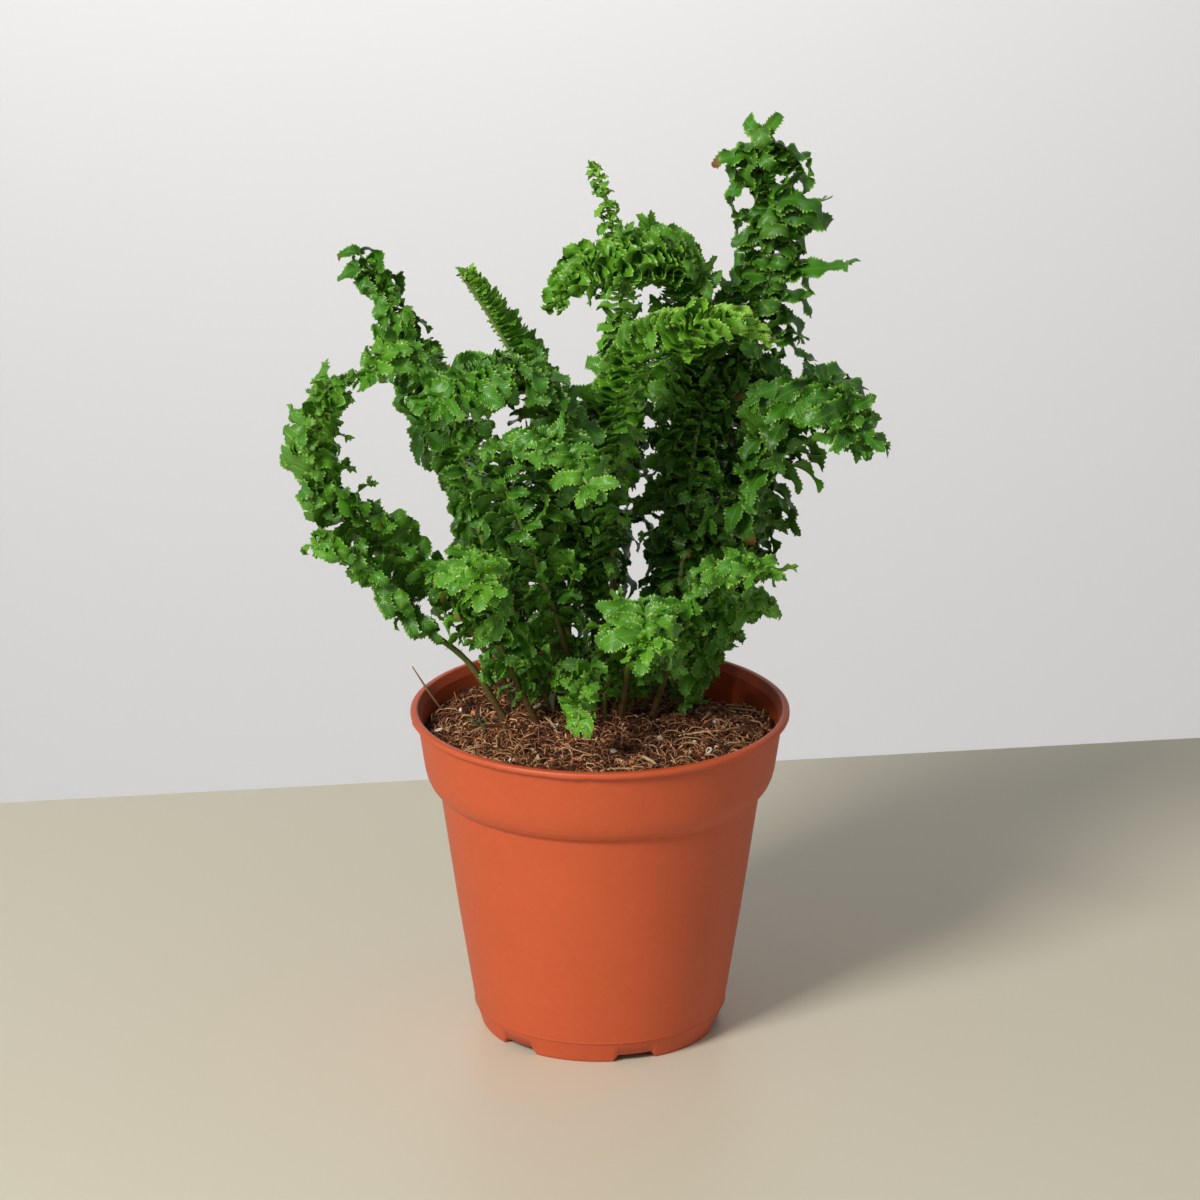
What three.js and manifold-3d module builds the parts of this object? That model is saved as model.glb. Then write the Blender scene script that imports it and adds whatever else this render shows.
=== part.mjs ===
// A curly Boston fern in its 4 inch nursery pot: the moulded pot, the coir potting mix that fills it,
// and every frond, each with its leaflets grown out of the sides of its own rachis.
// Millimetres, +Z up, -Y towards the viewer. The origin is on the pot's axis, at the surface it stands on.
import * as THREE from "three";
import { mergeVertices } from "three/addons/utils/BufferGeometryUtils.js";
import Module from "manifold-3d";

const wasm = await Module();
wasm.setup();

// The pot: radii and heights of its outside, from the ground up
const POT_HEIGHT = 95.4;
const RIM_R = 54;
const FOOT_R = 33.8;
const LINE_Z = 6.5; // the parting line just above the foot
const LINE_R = 36.2;
const LINE_STEP = 0.3;
const NECK_Z = 72; // where the tapered wall runs into the collar
const NECK_R = 45.9;
const SHOULDER = [
  [48.5, 74.8],
  [49.8, 77.6],
]; // the collar's rounded lower edge
const COLLAR_Z = 80.5;
const COLLAR_R = 50.3;
const COLLAR_TOP_R = 52.1;
const LIP_H = 1.9;
const LIP_ROUND = 0.6;
const WALL = 1.3;
const FLOOR_UNDER_Z = 3; // the floor is raised on the foot ring
const FLOOR_T = 1.6;
const RING_T = 2.2; // thickness of the foot ring
const POT_SIDES = 32;
const NOTCHES = 6;
const NOTCH_W = 10;
const NOTCH_H = 2.2;
const NOTCH_AT = -73; // degrees, the first notch, seen from above
const DRAIN_R = 3.2;
const DRAINS_ON_R = 21;
const DRAIN_SIDES = 8;
const INSIDE = [
  [FOOT_R, FLOOR_UNDER_Z + FLOOR_T],
  [NECK_R - WALL, NECK_Z],
  [COLLAR_R - WALL, COLLAR_Z],
  [COLLAR_TOP_R - WALL, POT_HEIGHT - LIP_H - LIP_ROUND],
  [RIM_R - WALL - LIP_ROUND, POT_HEIGHT],
]; // radii and heights of the inside

// The potting mix
const SOIL_Z = 88.5;
const SOIL_MOUND = 3.2; // how far the mix rises round the crown
const SOIL_GAP = 0.3; // to the pot's inside
const SOIL_LUMP = 0.9;
const CROWN = new THREE.Vector2(0, 15); // where the fronds leave the mix
const HEAP_SPREAD = 30;
const SOIL_SINK = 6; // how far it has sunk at one side
const SINK_AT = new THREE.Vector2(33, 35);
const SINK_SPREAD = 16;
const SOIL_RINGS = 4;

// The fronds
const ROOT_DEPTH = 9; // how deep a stipe stands in the mix
const HOLE_GAP = 0.35;
const HOLE_SIDES = 6;
const STIPE_HALF = 1.15; // half the thickness of a rachis where it leaves the mix
const TIP_HALF = 0.55;
const ROOT_W = 2.4; // width of a leaflet where it joins the rachis
const WIDEST = 9.5;
const BLADE_T = 0.68; // thickness of a leaflet
const NODE_GAP = 0.32; // least distance between two pieces
const SAME_FROND_GAP = 0.06;
const MOST_LIFT = 52; // degrees
const LAST_PAIR = 0.985; // where the last pair sits, as a share of the rachis
const STIPE_STEPS = 4;
const STALK_STEPS = 40;
const ROUTE_STEPS = 240;

// The lobes of a leaflet: at a share of its length, half its breadth there as a share of its full width
const LOBED_FROM = 11; // shorter leaflets have fewer lobes
const LOBES = [
  [0.26, 0.5],
  [0.5, 0.36],
  [0.76, 0.42],
];
const FEW_LOBES = [
  [0.32, 0.5],
  [0.7, 0.4],
];

// What is tried on a leaflet, in this order, until it clears everything near it
const CHANGES = [
  { forward: 0, lift: 0, roll: 0, length: 1 },
  { forward: 0, lift: 20, roll: 0, length: 1 },
  { forward: 0, lift: -20, roll: 0, length: 1 },
  { forward: 0, lift: 8, roll: 32, length: 1 },
  { forward: 0, lift: 8, roll: -32, length: 1 },
  { forward: 14, lift: 34, roll: 16, length: 1 },
  { forward: 14, lift: -34, roll: 16, length: 1 },
  { forward: 0, lift: 0, roll: 12, length: 0.8 },
  { forward: 0, lift: 24, roll: -12, length: 0.8 },
  { forward: 0, lift: -24, roll: 40, length: 0.8 },
  { forward: 8, lift: 12, roll: 0, length: 0.6 },
  { forward: 8, lift: -30, roll: 24, length: 0.6 },
  { forward: 0, lift: 0, roll: 60, length: 0.5 },
];

// How the leaflets of a frond stand. Angles are in degrees:
// forward: towards the frond's tip; lift: towards its upper side; roll: about the leaflet's own midrib;
// curl: how far the midrib bends, up or down; wave: how far one lobe is tipped against the next.
// jitter is how much they differ from each other; width: as a share of the leaflet's length.
const HABITS = {
  loose: { forward: 12, lift: 8, roll: 44, curl: -70, wave: 26, jitter: 1, width: 0.6 },
  stacked: { forward: -6, lift: -22, roll: 68, curl: 46, wave: 12, jitter: 0.3, width: 0.62 },
  spire: { forward: 16, lift: 18, roll: 60, curl: -50, wave: 12, jitter: 0.3, width: 0.7 },
  folded: { forward: 0, lift: 50, roll: 68, curl: -50, wave: 10, jitter: 0.25, width: 0.6 },
  fan: { forward: 22, lift: 10, roll: 34, curl: -50, wave: 22, jitter: 0.8, width: 0.64 },
};

// lean: the direction, in degrees from +X, in which the frond arches over, which sets where its upper side
// faces; leaflet: the length of the longest; bare: the share of the rachis without leaflets; pairs: leaflet
// pairs; tip: the last leaflet as a share of the longest; accents: single long ones as [pair, side, length];
// route: the rachis from the surface of the mix to its tip.
const FRONDS = [
  {
    name: "tall_right",
    habit: "loose",
    shape: { lean: 90, leaflet: 15.5, bare: 0.2, pairs: 14, tip: 0.75, seed: 11 },
    accents: [[9, -1, 25], [10, -1, 21], [9, 1, 22]],
    route: [
      [20, 19, 90], [33, 21, 121], [39, 24, 150], [42, 28, 178], [45, 32, 200],
      [49, 33, 222], [47, 31, 241], [45, 28, 256],
    ],
  },
  {
    name: "head_left",
    habit: "stacked",
    shape: { lean: 180, leaflet: 14, bare: 0.3, pairs: 13, tip: 0.6, seed: 23 },
    route: [
      [12, 22, 90], [19, 26, 125], [24, 27, 165], [28, 24, 198], [25, 17, 219],
      [14, 9, 227], [1, 2, 227], [-9, -4, 221], [-13, -7, 216],
    ],
  },
  {
    name: "spire_top",
    habit: "spire",
    shape: { lean: 80, leaflet: 8, bare: 0.3, pairs: 14, tip: 0.2, seed: 31 },
    route: [
      [2, 29, 90], [4, 31, 129], [5, 33, 168], [6, 32, 203], [4, 30, 226],
      [-1, 27, 247],
    ],
  },
  {
    name: "head_right",
    habit: "stacked",
    shape: { lean: 0, leaflet: 13, bare: 0.28, pairs: 13, tip: 0.4, seed: 41 },
    route: [
      [4, 12, 91], [-2, 3, 127], [-4, -4, 159], [-1, -7, 186], [9, -9, 205],
      [22, -11, 212], [36, -13, 213], [48, -14, 208],
    ],
  },
  {
    name: "upright_mid",
    habit: "loose",
    shape: { lean: 90, leaflet: 12.5, bare: 0.16, pairs: 13, tip: 0.5, seed: 53 },
    route: [
      [14, 14, 91], [22, 13, 123], [25, 13, 152], [28, 17, 174], [34, 26, 184],
      [42, 37, 186], [51, 46, 181],
    ],
  },
  {
    name: "right",
    habit: "fan",
    shape: { lean: -40, leaflet: 15, bare: 0.22, pairs: 13, tip: 0.9, seed: 61 },
    route: [
      [28, 14, 90], [34, 15, 113], [40, 16, 134], [46, 15, 158], [52, 13, 175],
      [58, 8, 186], [65, 2, 191], [72, -4, 189], [76, -9, 184],
    ],
  },
  {
    name: "left_low",
    habit: "loose",
    shape: { lean: 205, leaflet: 12, bare: 0.38, pairs: 10, tip: 0.6, seed: 71 },
    route: [
      [-27, 3, 90], [-37, -2, 109], [-48, -8, 121], [-59, -14, 133],
      [-67, -18, 144], [-74, -22, 151], [-81, -24, 152],
    ],
  },
  {
    name: "left_curl",
    habit: "loose",
    shape: { lean: -80, leaflet: 10.5, bare: 0.24, pairs: 13, tip: 0.7, seed: 83 },
    accents: [[10, -1, 14], [8, -1, 15]],
    route: [
      [-23, 11, 90], [-38, 5, 119], [-53, -1, 139], [-66, -7, 152],
      [-73, -12, 163], [-77, -15, 177], [-77, -17, 189], [-75, -18, 197], [-70, -19, 200],
    ],
  },
  {
    name: "upper_left",
    habit: "loose",
    shape: { lean: 150, leaflet: 13, bare: 0.2, pairs: 13, tip: 0.8, seed: 97 },
    route: [
      [-14, 23, 90], [-26, 23, 120], [-37, 22, 148], [-46, 20, 171],
      [-52, 20, 187], [-57, 22, 202], [-63, 26, 213], [-68, 30, 221],
    ],
  },
  {
    name: "spire_left",
    habit: "folded",
    shape: { lean: 178, leaflet: 11, bare: 0.4, pairs: 12, tip: 0.25, seed: 101 },
    route: [
      [-7, 30, 90], [-12, 33, 129], [-17, 36, 164], [-23, 37, 186], [-30, 36, 200],
      [-40, 34, 216],
    ],
  },
  {
    name: "left_fan",
    habit: "fan",
    shape: { lean: 205, leaflet: 13, bare: 0.3, pairs: 11, tip: 0.8, seed: 113 },
    route: [
      [-19, 16, 90], [-29, 9, 125], [-36, 3, 157], [-41, -3, 182], [-47, -9, 198],
      [-56, -17, 205], [-63, -23, 202],
    ],
  },
  {
    name: "mid_left",
    habit: "fan",
    shape: { lean: -130, leaflet: 15, bare: 0.25, pairs: 12, tip: 0.85, seed: 127 },
    route: [
      [-10, 10, 91], [-15, 2, 127], [-14, -7, 160], [-12, -15, 184],
      [-19, -23, 199], [-31, -31, 205], [-42, -40, 200],
    ],
  },
  {
    name: "front_mid",
    habit: "fan",
    shape: { lean: -75, leaflet: 13, bare: 0.2, pairs: 11, tip: 0.7, seed: 131 },
    route: [
      [-5, 4, 92], [-12, -9, 124], [-20, -21, 152], [-27, -30, 176],
      [-19, -38, 187], [-9, -48, 187], [-3, -58, 180],
    ],
  },
  {
    name: "front_left",
    habit: "fan",
    shape: { lean: -110, leaflet: 12, bare: 0.22, pairs: 9, tip: 0.9, seed: 149 },
    route: [
      [-18, -1, 91], [-26, -12, 113], [-31, -23, 131], [-34, -33, 145],
      [-35, -44, 153], [-32, -55, 151],
    ],
  },
  {
    name: "front_right",
    habit: "fan",
    shape: { lean: -85, leaflet: 12, bare: 0.2, pairs: 8, tip: 0.9, seed: 151 },
    route: [
      [6, 1, 92], [8, -13, 113], [10, -28, 130], [12, -42, 138], [12, -54, 134],
    ],
  },
  {
    name: "right_front",
    habit: "fan",
    shape: { lean: -45, leaflet: 12, bare: 0.18, pairs: 9, tip: 0.8, seed: 163 },
    route: [
      [15, 4, 91], [21, -8, 115], [28, -20, 135], [36, -30, 148], [44, -38, 149],
    ],
  },
  {
    name: "right_low",
    habit: "loose",
    shape: { lean: -15, leaflet: 11, bare: 0.22, pairs: 8, tip: 0.8, seed: 167 },
    route: [
      [24, 7, 90], [30, 1, 108], [36, -5, 121], [42, -10, 129], [47, -14, 130],
    ],
  },
  {
    name: "right_back",
    habit: "loose",
    shape: { lean: 35, leaflet: 12, bare: 0.25, pairs: 9, tip: 0.9, seed: 173 },
    route: [
      [25, 25, 90], [32, 33, 110], [39, 41, 126], [45, 46, 134], [50, 48, 134],
    ],
  },
  {
    name: "back_left",
    habit: "loose",
    shape: { lean: 130, leaflet: 13, bare: 0.2, pairs: 11, tip: 0.6, seed: 181 },
    route: [
      [-16, 34, 90], [-27, 42, 120], [-37, 48, 148], [-46, 50, 168],
      [-56, 51, 177],
    ],
  },
  {
    name: "back_mid",
    habit: "loose",
    shape: { lean: 85, leaflet: 13, bare: 0.2, pairs: 12, tip: 0.6, seed: 191 },
    route: [
      [1, 37, 90], [2, 44, 125], [5, 49, 158], [10, 52, 180], [18, 55, 190],
    ],
  },
  {
    name: "back_right",
    habit: "loose",
    shape: { lean: 60, leaflet: 12, bare: 0.2, pairs: 10, tip: 0.6, seed: 193 },
    route: [
      [14, 31, 90], [22, 40, 118], [31, 47, 142], [40, 53, 156],
    ],
  },
  {
    name: "droop",
    habit: "fan",
    shape: { lean: -90, leaflet: 8.5, bare: 0.3, pairs: 6, tip: 0.9, seed: 199 },
    route: [
      [-3, -5, 92], [-2, -13, 107], [-3, -23, 112], [-5, -32, 107], [-6, -38, 100],
    ],
  },
];

const COLOURS = {
  pot: { color: "#b5502c", roughness: 0.55 },
  soil: { color: "#4a2f20", roughness: 0.95 },
  frond: { color: "#2b7a2b", roughness: 0.45 },
  young: { color: "#5f9a34", roughness: 0.45 },
};
const YOUNG = ["spire_top", "spire_left"];

const CYLINDER_AXIS = new THREE.Vector3(0, 1, 0);
const radians = THREE.MathUtils.degToRad;
const mix = THREE.MathUtils.lerp;
const polar = (r, a, z) => new THREE.Vector3(r * Math.cos(a), r * Math.sin(a), z);

// Mulberry32: the same draws every time for one seed
function draws(seed) {
  let a = seed >>> 0;
  return () => {
    a = (a + 0x6d2b79f5) >>> 0;
    let t = Math.imul(a ^ (a >>> 15), 1 | a);
    t = (t + Math.imul(t ^ (t >>> 7), 61 | t)) ^ t;
    return ((t ^ (t >>> 14)) >>> 0) / 4294967296;
  };
}

// Solids and geometries, to and fro
function solidOf(geometry) {
  const bare = new THREE.BufferGeometry().setAttribute("position", geometry.getAttribute("position"));
  if (geometry.index) bare.setIndex(geometry.index);
  const merged = mergeVertices(bare, 1e-4);
  return new wasm.Manifold(
    new wasm.Mesh({
      numProp: 3,
      vertProperties: new Float32Array(merged.attributes.position.array),
      triVerts: new Uint32Array(merged.index.array),
    }),
  );
}

function geometryOf(solid) {
  const { numProp, numVert, vertProperties, triVerts } = solid.getMesh();
  const position = new Float32Array(numVert * 3);
  for (let i = 0; i < numVert; i++) {
    position.set(vertProperties.subarray(i * numProp, i * numProp + 3), i * 3);
  }
  const geometry = new THREE.BufferGeometry();
  geometry.setAttribute("position", new THREE.BufferAttribute(position, 3));
  geometry.setIndex(new THREE.BufferAttribute(new Uint32Array(triVerts), 1));
  return geometry;
}

function boxOf(solid) {
  const { min, max } = solid.boundingBox();
  return new THREE.Box3(new THREE.Vector3(...min), new THREE.Vector3(...max));
}

// A closed mesh built point by point and face by face. A ring is a loop of point numbers.
class Shell {
  points = [];
  triangles = [];
  ring(points) {
    return points.map((p) => this.points.push(p.clone()) - 1);
  }
  quad(a, b, c, d) {
    this.triangles.push(a, b, c, a, c, d);
  }
  bridge(from, to, skip = []) {
    from.forEach((a, i) => {
      const j = (i + 1) % from.length;
      if (!skip.includes(i)) this.quad(a, from[j], to[j], to[i]);
    });
  }
  // the same between two sections of a blade, cut into triangles alike on its two faces
  blade([a, b, c, d], [e, f, g, h]) {
    this.triangles.push(a, b, f, a, f, e, c, d, g, d, h, g);
    this.quad(b, c, g, f);
    this.quad(d, a, e, h);
  }
  cap(ring) {
    for (let i = 1; i < ring.length - 1; i++) this.triangles.push(ring[0], ring[i], ring[i + 1]);
  }
  close(ring, apex) {
    const [tip] = this.ring([apex]);
    ring.forEach((a, i) => this.triangles.push(a, ring[(i + 1) % ring.length], tip));
  }
  geometry() {
    const geometry = new THREE.BufferGeometry();
    const flat = this.points.flatMap((p) => [p.x, p.y, p.z]);
    geometry.setAttribute("position", new THREE.Float32BufferAttribute(flat, 3));
    geometry.setIndex(this.triangles);
    return geometry;
  }
}

// The rachis as a smooth curve that starts down in the mix, with its sideways and upper directions
class Route {
  constructor({ route, shape }) {
    const points = route.map((p) => new THREE.Vector3(...p));
    const down = points[0].clone().sub(points[1]).setLength(ROOT_DEPTH);
    this.root = points[0].clone().add(down);
    this.curve = new THREE.CatmullRomCurve3([this.root, ...points], false, "catmullrom", 0.5);
    this.curve.arcLengthDivisions = ROUTE_STEPS;
    this.length = this.curve.getLength();
    const across = radians(shape.lean - 90);
    this.across = new THREE.Vector3(Math.cos(across), Math.sin(across), 0);
  }
  at(share) {
    const point = this.curve.getPointAt(share);
    const along = this.curve.getTangentAt(share);
    const side = this.across.clone().addScaledVector(along, -this.across.dot(along)).normalize();
    return { point, along, side, up: side.clone().cross(along) };
  }
  half(share) {
    return mix(STIPE_HALF, TIP_HALF, Math.pow(share, 0.8));
  }
  // corners: upper left, upper right, lower right, lower left, seen from behind with the upper side on top
  section(share) {
    const { point, side, up } = this.at(share);
    const half = this.half(share);
    return [[-1, 1], [1, 1], [1, -1], [-1, -1]].map(([a, b]) =>
      point.clone().addScaledVector(side, a * half).addScaledVector(up, b * half * 0.9),
    );
  }
}

// Where the pairs of leaflets sit on the rachis, as shares of its length, closer together towards the tip
function pairShares({ bare, pairs }) {
  return Array.from({ length: pairs }, (_, i) => {
    const t = (i + 0.5) / pairs;
    return { t, share: mix(bare, LAST_PAIR, Math.pow(t, 0.92)) };
  });
}

// The direction, facing and size of one leaflet. side is +1 or -1; change alters its angles or its length.
function leafletPose(frond, place, side, { t, pair }, change) {
  const { shape } = frond;
  const habit = HABITS[frond.habit];
  const random = draws(shape.seed * 1000 + pair * 2 + side);
  const loose = (spread) => (random() - 0.5) * 2 * spread * habit.jitter;
  const forward = radians(habit.forward + 20 * t * t + loose(12) + change.forward);
  const lift = radians(THREE.MathUtils.clamp(habit.lift + loose(24) + change.lift, -MOST_LIFT, MOST_LIFT));
  const roll = radians(habit.roll + loose(34) + change.roll);
  const axis = place.side.clone().multiplyScalar(side * Math.cos(forward) * Math.cos(lift));
  axis.addScaledVector(place.along, Math.sin(forward) * Math.cos(lift));
  axis.addScaledVector(place.up, Math.sin(lift)).normalize();
  const face = place.up.clone().addScaledVector(axis, -place.up.dot(axis)).normalize();
  face.applyAxisAngle(axis, -side * roll);
  const accent = (frond.accents ?? []).find(([at, on]) => at === pair && on === side);
  const foot = mix(0.5, 1, Math.min(1, t / 0.3));
  const end = mix(1, shape.tip, Math.max(0, (t - 0.45) / 0.55));
  const length = accent ? accent[2] : shape.leaflet * foot * end * (1 + loose(0.12));
  return {
    axis,
    face,
    length: length * change.length,
    width: Math.min(WIDEST, habit.width * length),
    curl: radians(habit.curl + loose(45)),
    wave: radians(habit.wave * (0.7 + 0.6 * random())) * (random() < 0.5 ? -1 : 1),
  };
}

// The sections of a leaflet from its root on the rachis to its point, and the point itself
function leafletSections(start, { axis, face, length, width, curl, wave }) {
  const breadth = face.clone().cross(axis);
  const teeth = length > LOBED_FROM ? LOBES : FEW_LOBES;
  const centre = start.clone();
  let last = 0;
  const walk = (u) => {
    const bend = (curl * (u + last)) / 2;
    centre.addScaledVector(axis, Math.cos(bend) * length * (u - last));
    centre.addScaledVector(face, Math.sin(bend) * length * (u - last));
    last = u;
  };
  const sections = teeth.map(([u, half], i) => {
    walk(u);
    const heading = axis.clone().applyAxisAngle(breadth, -curl * u);
    const turn = i % 2 ? -wave : wave;
    const out = breadth.clone().applyAxisAngle(heading, turn);
    const top = heading.clone().cross(out);
    return [[1, 1], [-1, 1], [-1, -1], [1, -1]].map(([a, b]) =>
      centre.clone().addScaledVector(out, a * half * width).addScaledVector(top, (b * BLADE_T) / 2),
    );
  });
  walk(1);
  return { sections, apex: centre.clone() };
}

function growLeaflet(shell, root, { sections, apex }) {
  let last = root;
  for (const section of sections) {
    const ring = shell.ring(section);
    shell.blade(last, ring);
    last = ring;
  }
  shell.close(last, apex);
}

// A leaflet as a solid of its own, from its first section or from its root, to try where it fits
function leafletSolid(root, { sections, apex }) {
  const shell = new Shell();
  const foot = shell.ring(root ?? sections[0]);
  shell.cap([...foot].reverse());
  growLeaflet(shell, foot, { sections: root ? sections : sections.slice(1), apex });
  return solidOf(shell.geometry());
}

// Solids that are already placed, looked through by their boxes. A leaflet's own stalk is left to its caller.
class Neighbours {
  placed = [];
  add(solid, owner, isStalk = false) {
    this.placed.push({ solid, owner, isStalk, box: boxOf(solid) });
  }
  clear(solid, owner) {
    const box = boxOf(solid).expandByScalar(NODE_GAP);
    return this.placed.every((other) => {
      if (!box.intersectsBox(other.box) || (other.isStalk && other.owner === owner)) return true;
      const gap = other.owner === owner ? SAME_FROND_GAP : NODE_GAP;
      return solid.minGap(other.solid, gap) >= gap;
    });
  }
}

// The four corners of the rachis's side face between two sections, in a leaflet's own order
function rootCorners(near, far, side) {
  const [upper, lower] = side > 0 ? [1, 2] : [0, 3];
  const [front, back] = side > 0 ? [far, near] : [near, far];
  return [front[upper], back[upper], back[lower], front[lower]];
}

// The first pose of a leaflet that keeps clear of all that is placed, or null
function fittedLeaflet(frond, route, stalk, item, side, neighbours) {
  const place = route.at(item.share);
  const root = rootCorners(item.near, item.far, side);
  const start = place.point.clone().addScaledVector(place.side, side * route.half(item.share));
  for (const change of CHANGES) {
    const leaflet = leafletSections(start, leafletPose(frond, place, side, item, change));
    const whole = leafletSolid(root, leaflet);
    const blade = leafletSolid(null, leaflet);
    if (blade.minGap(stalk, SAME_FROND_GAP) < SAME_FROND_GAP) continue;
    if (!neighbours.clear(whole, frond.name)) continue;
    neighbours.add(whole, frond.name);
    return leaflet;
  }
  return null;
}

// The bare rachis as a solid
function stalkSolid(route) {
  const shell = new Shell();
  const rings = Array.from({ length: STALK_STEPS + 1 }, (_, i) => shell.ring(route.section(i / STALK_STEPS)));
  shell.cap([...rings[0]].reverse());
  for (let i = 1; i < rings.length; i++) shell.bridge(rings[i - 1], rings[i]);
  shell.cap(rings.at(-1));
  return solidOf(shell.geometry());
}

// The whole frond: the stipe, then a stretch of rachis with a leaflet on each side, a bare one, and so on
function frondGeometry(frond, route, stalk, neighbours) {
  const rootHalf = ROOT_W / 2 / route.length;
  const items = pairShares(frond.shape).map(({ t, share }, pair) => ({
    t,
    share,
    pair,
    near: route.section(share - rootHalf),
    far: route.section(share + rootHalf),
  }));
  for (const item of items) {
    item.leaflets = [1, -1].map((side) => fittedLeaflet(frond, route, stalk, item, side, neighbours));
  }
  const shell = new Shell();
  let last = shell.ring(route.section(0));
  shell.cap([...last].reverse());
  const stipeEnd = items[0].share - rootHalf;
  for (let i = 1; i < STIPE_STEPS; i++) {
    const ring = shell.ring(route.section((stipeEnd * i) / STIPE_STEPS));
    shell.bridge(last, ring);
    last = ring;
  }
  for (const item of items) {
    const near = shell.ring(item.near);
    const far = shell.ring(item.far);
    shell.bridge(last, near);
    const [right, left] = item.leaflets;
    shell.bridge(near, far, [...(right ? [1] : []), ...(left ? [3] : [])]);
    if (right) growLeaflet(shell, rootCorners(near, far, 1), right);
    if (left) growLeaflet(shell, rootCorners(near, far, -1), left);
    last = far;
  }
  shell.close(last, route.at(1).point);
  return shell.geometry();
}

// The pot: its wall turned as one closed outline, then notched at the foot and drilled in the floor
function potSolid() {
  const outline = [
    [FOOT_R - RING_T, 0],
    [FOOT_R, 0],
    [LINE_R - LINE_STEP, LINE_Z - LINE_STEP],
    [LINE_R, LINE_Z],
    [NECK_R, NECK_Z],
    ...SHOULDER,
    [COLLAR_R, COLLAR_Z],
    [COLLAR_TOP_R, POT_HEIGHT - LIP_H - LIP_ROUND],
    [RIM_R, POT_HEIGHT - LIP_H + LIP_ROUND],
    [RIM_R, POT_HEIGHT - LIP_ROUND],
    [RIM_R - LIP_ROUND, POT_HEIGHT],
    ...[...INSIDE].reverse(),
    [0, FLOOR_UNDER_Z + FLOOR_T],
    [0, FLOOR_UNDER_Z],
    [FOOT_R - RING_T, FLOOR_UNDER_Z],
  ];
  const points = [...outline, outline[0]].map(([r, z]) => new THREE.Vector2(r, z));
  const turned = solidOf(new THREE.LatheGeometry(points, POT_SIDES).rotateX(Math.PI / 2));
  const cuts = Array.from({ length: NOTCHES }, (_, i) => {
    const angle = radians(NOTCH_AT + (i * 360) / NOTCHES);
    const notch = new THREE.BoxGeometry(RING_T * 4, NOTCH_W, NOTCH_H * 2);
    notch.translate(FOOT_R, 0, 0).rotateZ(angle);
    const drain = new THREE.CylinderGeometry(DRAIN_R, DRAIN_R, FLOOR_T * 4, DRAIN_SIDES);
    drain.rotateX(Math.PI / 2).translate(DRAINS_ON_R, 0, FLOOR_UNDER_Z + FLOOR_T / 2).rotateZ(angle);
    return [solidOf(notch), solidOf(drain)];
  });
  return turned.subtract(wasm.Manifold.union(cuts.flat()));
}

// Radius of the pot's inside at a height
function insideRadius(z) {
  const above = INSIDE.findIndex(([, height]) => height >= z);
  const [r0, z0] = INSIDE[above - 1];
  const [r1, z1] = INSIDE[above];
  return mix(r0, r1, (z - z0) / (z1 - z0));
}

// The mix fills the pot, is heaped round the crown, and has sunk behind it to the right
function soilHeight(x, y, lump) {
  const near = (centre, spread) => Math.exp(-(((x - centre.x) ** 2 + (y - centre.y) ** 2) / spread ** 2));
  return SOIL_Z + SOIL_MOUND * near(CROWN, HEAP_SPREAD) - SOIL_SINK * near(SINK_AT, SINK_SPREAD) + lump;
}

function soilSolid(routes) {
  const random = draws(7);
  const shell = new Shell();
  const angles = Array.from({ length: POT_SIDES }, (_, i) => (i / POT_SIDES) * 2 * Math.PI);
  const level = (z) => shell.ring(angles.map((a) => polar(insideRadius(z) - SOIL_GAP, a, z)));
  const top = (share) =>
    shell.ring(
      angles.map((a) => {
        const flat = polar(share * (insideRadius(SOIL_Z) - SOIL_GAP), a, 0);
        const z = soilHeight(flat.x, flat.y, (random() - 0.5) * 2 * SOIL_LUMP);
        return share < 1 ? flat.setZ(z) : polar(insideRadius(z) - SOIL_GAP, a, z);
      }),
    );
  const rings = [level(FLOOR_UNDER_Z + FLOOR_T + SOIL_GAP), level(NECK_Z), level(COLLAR_Z)];
  for (let i = SOIL_RINGS; i > 0; i--) rings.push(top(i / SOIL_RINGS));
  shell.cap([...rings[0]].reverse());
  for (let i = 1; i < rings.length; i++) shell.bridge(rings[i - 1], rings[i]);
  shell.close(rings.at(-1), new THREE.Vector3(0, 0, soilHeight(0, 0, 0)));
  const holes = routes.map((route) => {
    const depth = 2 * ROOT_DEPTH + HOLE_GAP;
    const radius = (route.half(0) * Math.SQRT2 + HOLE_GAP) / Math.cos(Math.PI / HOLE_SIDES);
    const hole = new THREE.CylinderGeometry(radius, radius, depth, HOLE_SIDES);
    hole.translate(0, depth / 2 - HOLE_GAP, 0);
    hole.applyQuaternion(new THREE.Quaternion().setFromUnitVectors(CYLINDER_AXIS, route.at(0).along));
    return solidOf(hole.translate(...route.root));
  });
  return solidOf(shell.geometry()).subtract(wasm.Manifold.union(holes));
}

function named(name, geometry, { color, roughness }) {
  const material = new THREE.MeshStandardMaterial({ color, roughness, metalness: 0, flatShading: true });
  const mesh = new THREE.Mesh(geometry, material);
  mesh.name = name;
  return mesh;
}

const fern = new THREE.Group();
fern.name = "potted_fern";

const routes = FRONDS.map((frond) => new Route(frond));
const stalks = routes.map(stalkSolid);
const pot = potSolid();
const soil = soilSolid(routes);
fern.add(named("pot", geometryOf(pot), COLOURS.pot), named("soil", geometryOf(soil), COLOURS.soil));

const neighbours = new Neighbours();
neighbours.add(pot, "pot");
neighbours.add(soil, "soil");
FRONDS.forEach((frond, i) => neighbours.add(stalks[i], frond.name, true));
FRONDS.forEach((frond, i) => {
  const { root } = routes[i];
  const geometry = frondGeometry(frond, routes[i], stalks[i], neighbours);
  geometry.translate(-root.x, -root.y, -root.z);
  const colour = YOUNG.includes(frond.name) ? COLOURS.young : COLOURS.frond;
  const mesh = named("frond_" + frond.name, geometry, colour);
  mesh.position.copy(root);
  fern.add(mesh);
});

export default fern;
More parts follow.
